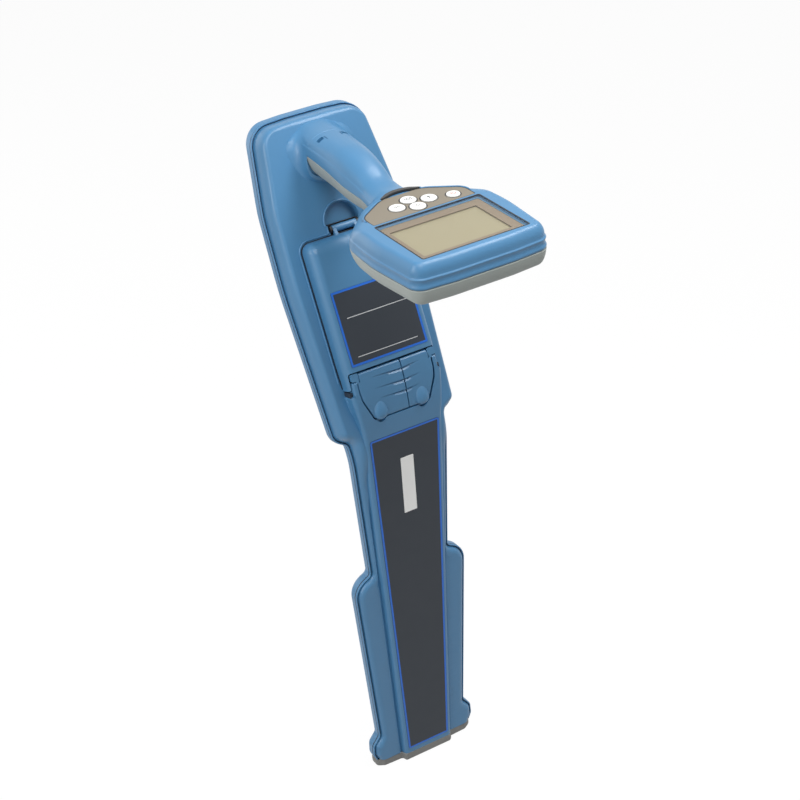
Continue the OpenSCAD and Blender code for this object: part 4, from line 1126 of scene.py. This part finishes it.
# Finishes and inks: colour, roughness, grain, its depth, mottle, and at times gloss and metal
FINISHES = {
    "blue_plastic": ((72, 127, 169), 0.36, 1100, 0.07, 0.05, 0.55),
    "grey_plastic": ((160, 167, 163), 0.5, 700, 0.12, 0.05),
    "foot_rubber": ((128, 128, 125), 0.62, 500, 0.2, 0.08),
    # seal_rubber also serves as painted shade in the rim groove and in the pocket under the flaps
    "seal_rubber": ((26, 38, 52), 0.6, 500, 0.1, 0.08),
    "slate_film": ((47, 53, 61), 0.48, 1500, 0.05, 0.05, 0.35),
    "white_film": ((250, 250, 248), 0.4, 1400, 0.04, 0.03),
    # black_plastic also lines the hinge slot as painted shade
    "black_plastic": ((24, 25, 28), 0.45, 900, 0.08, 0.1),
    "steel": ((190, 188, 184), 0.28, 1800, 0.06, 0.05, 0.5, 1.0),
    "cell_wrap": ((92, 84, 74), 0.35, 800, 0.04, 0.06),
    "display": ((162, 151, 122), 0.3, 1600, 0.03, 0.03),
    "keypad_film": ((128, 120, 106), 0.5, 1300, 0.14, 0.05),
    "dark_trim": ((62, 62, 62), 0.55, 900, 0.12, 0.08),
    "key_cap": ((238, 238, 235), 0.38, 1200, 0.03, 0.02),
    "silicone": ((70, 70, 72), 0.6, 600, 0.1, 0.06),
    "circuit_board": ((30, 92, 56), 0.4, 700, 0.1, 0.12),
    "ferrite": ((52, 52, 54), 0.55, 900, 0.1, 0.1),
}
INKS = {
    "border_blue": ((28, 108, 214), 0.4, 1400, 0.04, 0.03),
    "rule_white": ((214, 216, 218), 0.4, 1400, 0.04, 0.03),
    # The brown frame ink also paints the bezel's shadow on the display
    "frame_brown_and_bezel_shadow": ((136, 119, 101), 0.45, 1200, 0.05, 0.06),
    "icon_grey": ((58, 60, 64), 0.45, 1400, 0.04, 0.05),
    "icon_red": ((205, 62, 52), 0.45, 1400, 0.04, 0.05),
}
finish = {name: moulded(name, *values) for name, values in FINISHES.items()}
finish["clear_lens"] = clear_pane("clear_lens")
ink = {name: moulded(name, *values) for name, values in INKS.items()}

for part in frame["record"]["subparts"]:
    mesh = nodes[part["node"]].data
    mesh.materials.clear()
    mesh.materials.append(finish[part["material_slot"]])

SHARP = radians(34)


def dress(piece, body, slot, material=None, instead=None):
    """Gives a piece its finish, its smooth shading and the body that it moves with."""
    piece.data.materials.clear()
    piece.data.materials.append(material or finish[slot])
    piece.data.shade_smooth()
    piece.data.set_sharp_from_angle(angle=SHARP)
    even = piece.modifiers.new("even", "WEIGHTED_NORMAL")
    even.keep_sharp = True
    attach(piece, body)
    if instead:
        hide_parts(instead)
    return piece


# Labels
LABEL_LOW = 15.5
LABEL_TOP = SPINE_TOP - 3.5
LABEL_IN = 4.3
LONG_LABEL = [(spine_x(s) - LABEL_IN, s, 2.5) for s in (LABEL_LOW, LABEL_TOP)]
DOOR_LABEL = [(DOOR_HALF - 7.8, DOOR_TOP_T - drop, 1.5) for drop in (120, 48.5)]
FILM_T = 0.4
PRINT_LOW = FILM_T - 0.1
PRINT_HIGH = FILM_T + 0.05
BORDER_OUT = 0.15
RULE_HALF = 32
RULE_W = 0.7
RULES = (DOOR_TOP_T - 75.5, DOOR_TOP_T - 112.5)


def label(name, corners, body, node, border):
    piece = loft(name, corners, [(0, 0), (0, FILM_T - 0.1), (0.1, FILM_T)], face, edge=3)
    dress(piece, body, "slate_film", instead=node)
    line = edging(name + "_border", corners, (BORDER_OUT, border), PRINT_LOW, PRINT_HIGH, face, edge=3)
    dress(line, body, "slate_film", ink["border_blue"])


def door_rules():
    """Two thin printed lines across the door's label."""
    lines = [prism("door_rules", bar(0, s + RULE_W / 2, 2 * RULE_HALF, RULE_W), PRINT_LOW, PRINT_HIGH, face)
             for s in RULES]
    return join(lines[0], lines[1:])


# Keys
def arc_mark(r, width, start, end, count=18):
    a = np.linspace(start, end, count)
    out = np.stack([np.cos(a), np.sin(a)], -1)
    return np.concatenate([out * (r + width / 2), (out * (r - width / 2))[::-1]])


ICONS = {
    "left": [bar(-2.6, 0, 0.7, 1.6), bar(-0.9, 0, 0.7, 2.8), bar(0.9, 0, 0.7, 2.0), bar(2.6, 0, 0.7, 1.2)],
    "rear": [arc_mark(1.5, 0.55, 0.2, 2 * pi - 0.2), arc_mark(3.0, 0.5, -0.7, 0.7),
             arc_mark(3.0, 0.5, pi - 0.7, pi + 0.7)],
    "front": [arc_mark(1.8, 0.5, 0, pi), bar(0, -1.2, 4.4, 0.5)],
    "right": [bar(0, -0.6, 0.9, 3.0), [(-1.5, 0.7), (1.5, 0.7), (0, 2.6)]],
    "power": [arc_mark(2.1, 0.6, pi / 2 + 0.6, 2.5 * pi - 0.6), bar(0, 1.5, 0.6, 2.2)],
}
CAP_COUNT = 48
CAP_FLANGE = 0.6
CAP_EDGE = [(0, 0.35), (0.12, 0.62), (0.4, 0.84), (1, 0.98)]
MARK_LOW = PANEL_TOP + 0.9
MARK_HIGH = PANEL_TOP + 1.24


def key_cap(name, x, y, r):
    """A flanged key with a domed top, and its printed mark."""
    flange = r + CAP_FLANGE
    rings = [(flange, PANEL_Z - 3.3), (flange, PANEL_Z - 2), (r, PANEL_Z - 2)]
    rings += [(r - inset, PANEL_TOP + h) for inset, h in CAP_EDGE]
    rings += [(r * 0.55, PANEL_TOP + 1.12), (0.4, PANEL_TOP + 1.18)]
    points = np.concatenate([flat(*circle(x, y, q, CAP_COUNT).T, z) for q, z in rings])
    body = "button_" + name
    cap = new_piece("key_cap_" + name, points, capped(CAP_COUNT, len(rings)))
    dress(cap, body, "key_cap", instead="key_" + name)
    marks = [prism("mark", np.array(loop) + (x, y), MARK_LOW, MARK_HIGH, flat) for loop in ICONS[name]]
    marks[0].name = "key_mark_" + name
    dress(join(marks[0], marks[1:]), body, "dark_trim", ink["icon_red" if name == "power" else "icon_grey"])


# Frames round the window, the keypad and the keys, and the bezel's painted shadow on the display
FRAME_AND_SHADOW_Z = GLASS_Z - GLASS_T
LINE_LOW = PANEL_TOP - 0.1
RING_IN = 0.36
RING_OUT = 1.1


def panel_lines():
    outer, inner = window_loop(0.35, 2.2), window_loop(-0.9, 1.6)
    edge = strip("window_edge", outer, inner, GLASS_Z + 0.02, HEAD_Z + 0.05, flat)
    dress(edge, "housing", "black_plastic")
    # The brown frame under the glass is wider on the right and rear sides, where it paints the bezel's
    # shadow
    hole = rounded(WINDOW_HALF - 9.5, WINDOW_LEN / 2 - 11, 1, (-2.8, WINDOW_Y - 2.4))
    frame_and_shadow = strip("window_frame_and_bezel_shadow", window_loop(-3.2, 2), hole, FRAME_AND_SHADOW_Z - 0.9, FRAME_AND_SHADOW_Z - 0.3, flat)
    dress(frame_and_shadow, "housing", "display", ink["frame_brown_and_bezel_shadow"])
    line = edging("keypad_line", KEYPAD, (0.1, 0.75), LINE_LOW, PANEL_TOP + 0.06, flat)
    dress(line, "housing", "black_plastic")
    for name, (x, y, r) in KEYS.items():
        outer, inner = (circle(x, y, r + grow) for grow in (RING_OUT, RING_IN))
        ring = strip("key_ring_" + name, outer, inner, LINE_LOW, PANEL_TOP + 0.05, flat)
        dress(ring, "housing", "black_plastic")


def build_pieces():
    dress(front_shell(), "housing", "blue_plastic", instead="front_shell")
    dress(rear_shell(), "housing", "blue_plastic", instead="rear_shell")
    dress(foot_bumper(), "housing", "foot_rubber", instead="foot_bumper")
    dress(battery_door(), "door", "blue_plastic", instead="battery_door")
    dress(latch(-1, "latch_left_skin"), "flap_left", "blue_plastic", instead="latch_left")
    dress(latch(1, "latch_right_skin"), "flap_right", "blue_plastic", instead="latch_right")
    dress(head_top_shell(), "housing", "blue_plastic", instead="head_top_shell")
    dress(head_bottom_shell(), "housing", "grey_plastic", instead="head_bottom_shell")
    dress(latch_pins(), "door", "steel", instead="latch_pins")
    dress(door_gasket(), "housing", "seal_rubber")
    # The dark walls and floor of the hinge slot are painted shade
    dress(hinge_slot_shade(), "housing", "black_plastic")
    # The strip in the rim groove is painted shade; the cord in the shells' joint is a dark joint
    dress(groove_shade_and_joint_cord(), "housing", "seal_rubber")
    # The bed under the flaps is painted shade
    dress(latch_gap_shade(), "housing", "seal_rubber")
    label("long_film", LONG_LABEL, "housing", "long_label", 2.1)
    label("door_film", DOOR_LABEL, "door", "door_label", 2.2)
    dress(door_rules(), "door", "white_film", ink["rule_white"])
    for name, spot in KEYS.items():
        key_cap(name, *spot)
    panel_lines()


# Stage, in metres: floor, surrounding light, and lamps with their place, aim, size and power
FLOOR_SIZE = 14
FLOOR_GLOW = 0.88
FLOOR_TONES = (0.56, 0.6)
FLOOR_WHITE = 1.08
WORLD_LIGHT = 0.15
LAMPS = {
    "top": ((-0.3, -0.65, 1.65), (0, 0, 0.5), (0.7, 0.7), 8),
    "left": ((-1.8, 0.0, 1.3), (0, 0, 0.5), (0.6, 1.4), 15),
    "edge": ((-1.7, -0.95, 0.75), (0, 0, 0.4), (0.22, 1.3), 3),
    "strip": ((0.6, -0.3, 1.75), (0, -0.1, 0.6), (1.2, 0.45), 17),
    "right": ((1.6, -1.4, 1.4), (0, 0, 0.35), (1.0, 1.4), 0.8),
    "back": ((-0.9, 1.9, 0.8), (0, 0, 0.35), (1.4, 1.4), 9),
}


def add_lamp(name, at, aim, size, power):
    data = bpy.data.lights.new(name, "AREA")
    data.shape = "RECTANGLE"
    data.size, data.size_y = size
    data.energy = power
    lamp = bpy.data.objects.new(name, data)
    lamp.location = at
    lamp.rotation_euler = (Vector(aim) - Vector(at)).to_track_quat("-Z", "Y").to_euler()
    lamp.visible_camera = False
    scene.collection.objects.link(lamp)


def pale_ground(name):
    """A pale floor that is seen as white, and still takes the object's shadow."""
    mat = bare_material(name)
    tree = mat.node_tree
    speck = add_node(tree, "ShaderNodeTexNoise", Scale=40.0, Detail=2.0)
    lit = add_node(tree, "ShaderNodeBsdfDiffuse")
    tree.links.new(map_range(tree, speck.outputs["Fac"], *FLOOR_TONES), lit.inputs["Color"])
    white = add_node(tree, "ShaderNodeEmission", Strength=FLOOR_WHITE)
    share = add_node(tree, "ShaderNodeMath", operation="MULTIPLY")
    share.inputs[1].default_value = FLOOR_GLOW
    tree.links.new(seen_share(tree), share.inputs[0])
    mix_to_output(tree, share.outputs[0], lit.outputs["BSDF"], white.outputs["Emission"])
    return mat


def add_stage():
    bpy.ops.mesh.primitive_plane_add(size=FLOOR_SIZE, location=(0, 0, 0))
    floor = bpy.context.object
    floor.name = "floor"
    floor.data.materials.append(pale_ground("floor"))
    world = bpy.data.worlds.new("studio")
    scene.world = world
    world.use_nodes = True
    tree = world.node_tree
    sky = tree.nodes["Background"]
    sky.inputs["Color"].default_value = (1, 1, 1, 1)
    tree.links.new(map_range(tree, seen_share(tree), WORLD_LIGHT, 1.0), sky.inputs["Strength"])
    for name, values in LAMPS.items():
        add_lamp(name, *values)


add_camera()
build_pieces()
add_stage()
scene.view_settings.view_transform = "Standard"
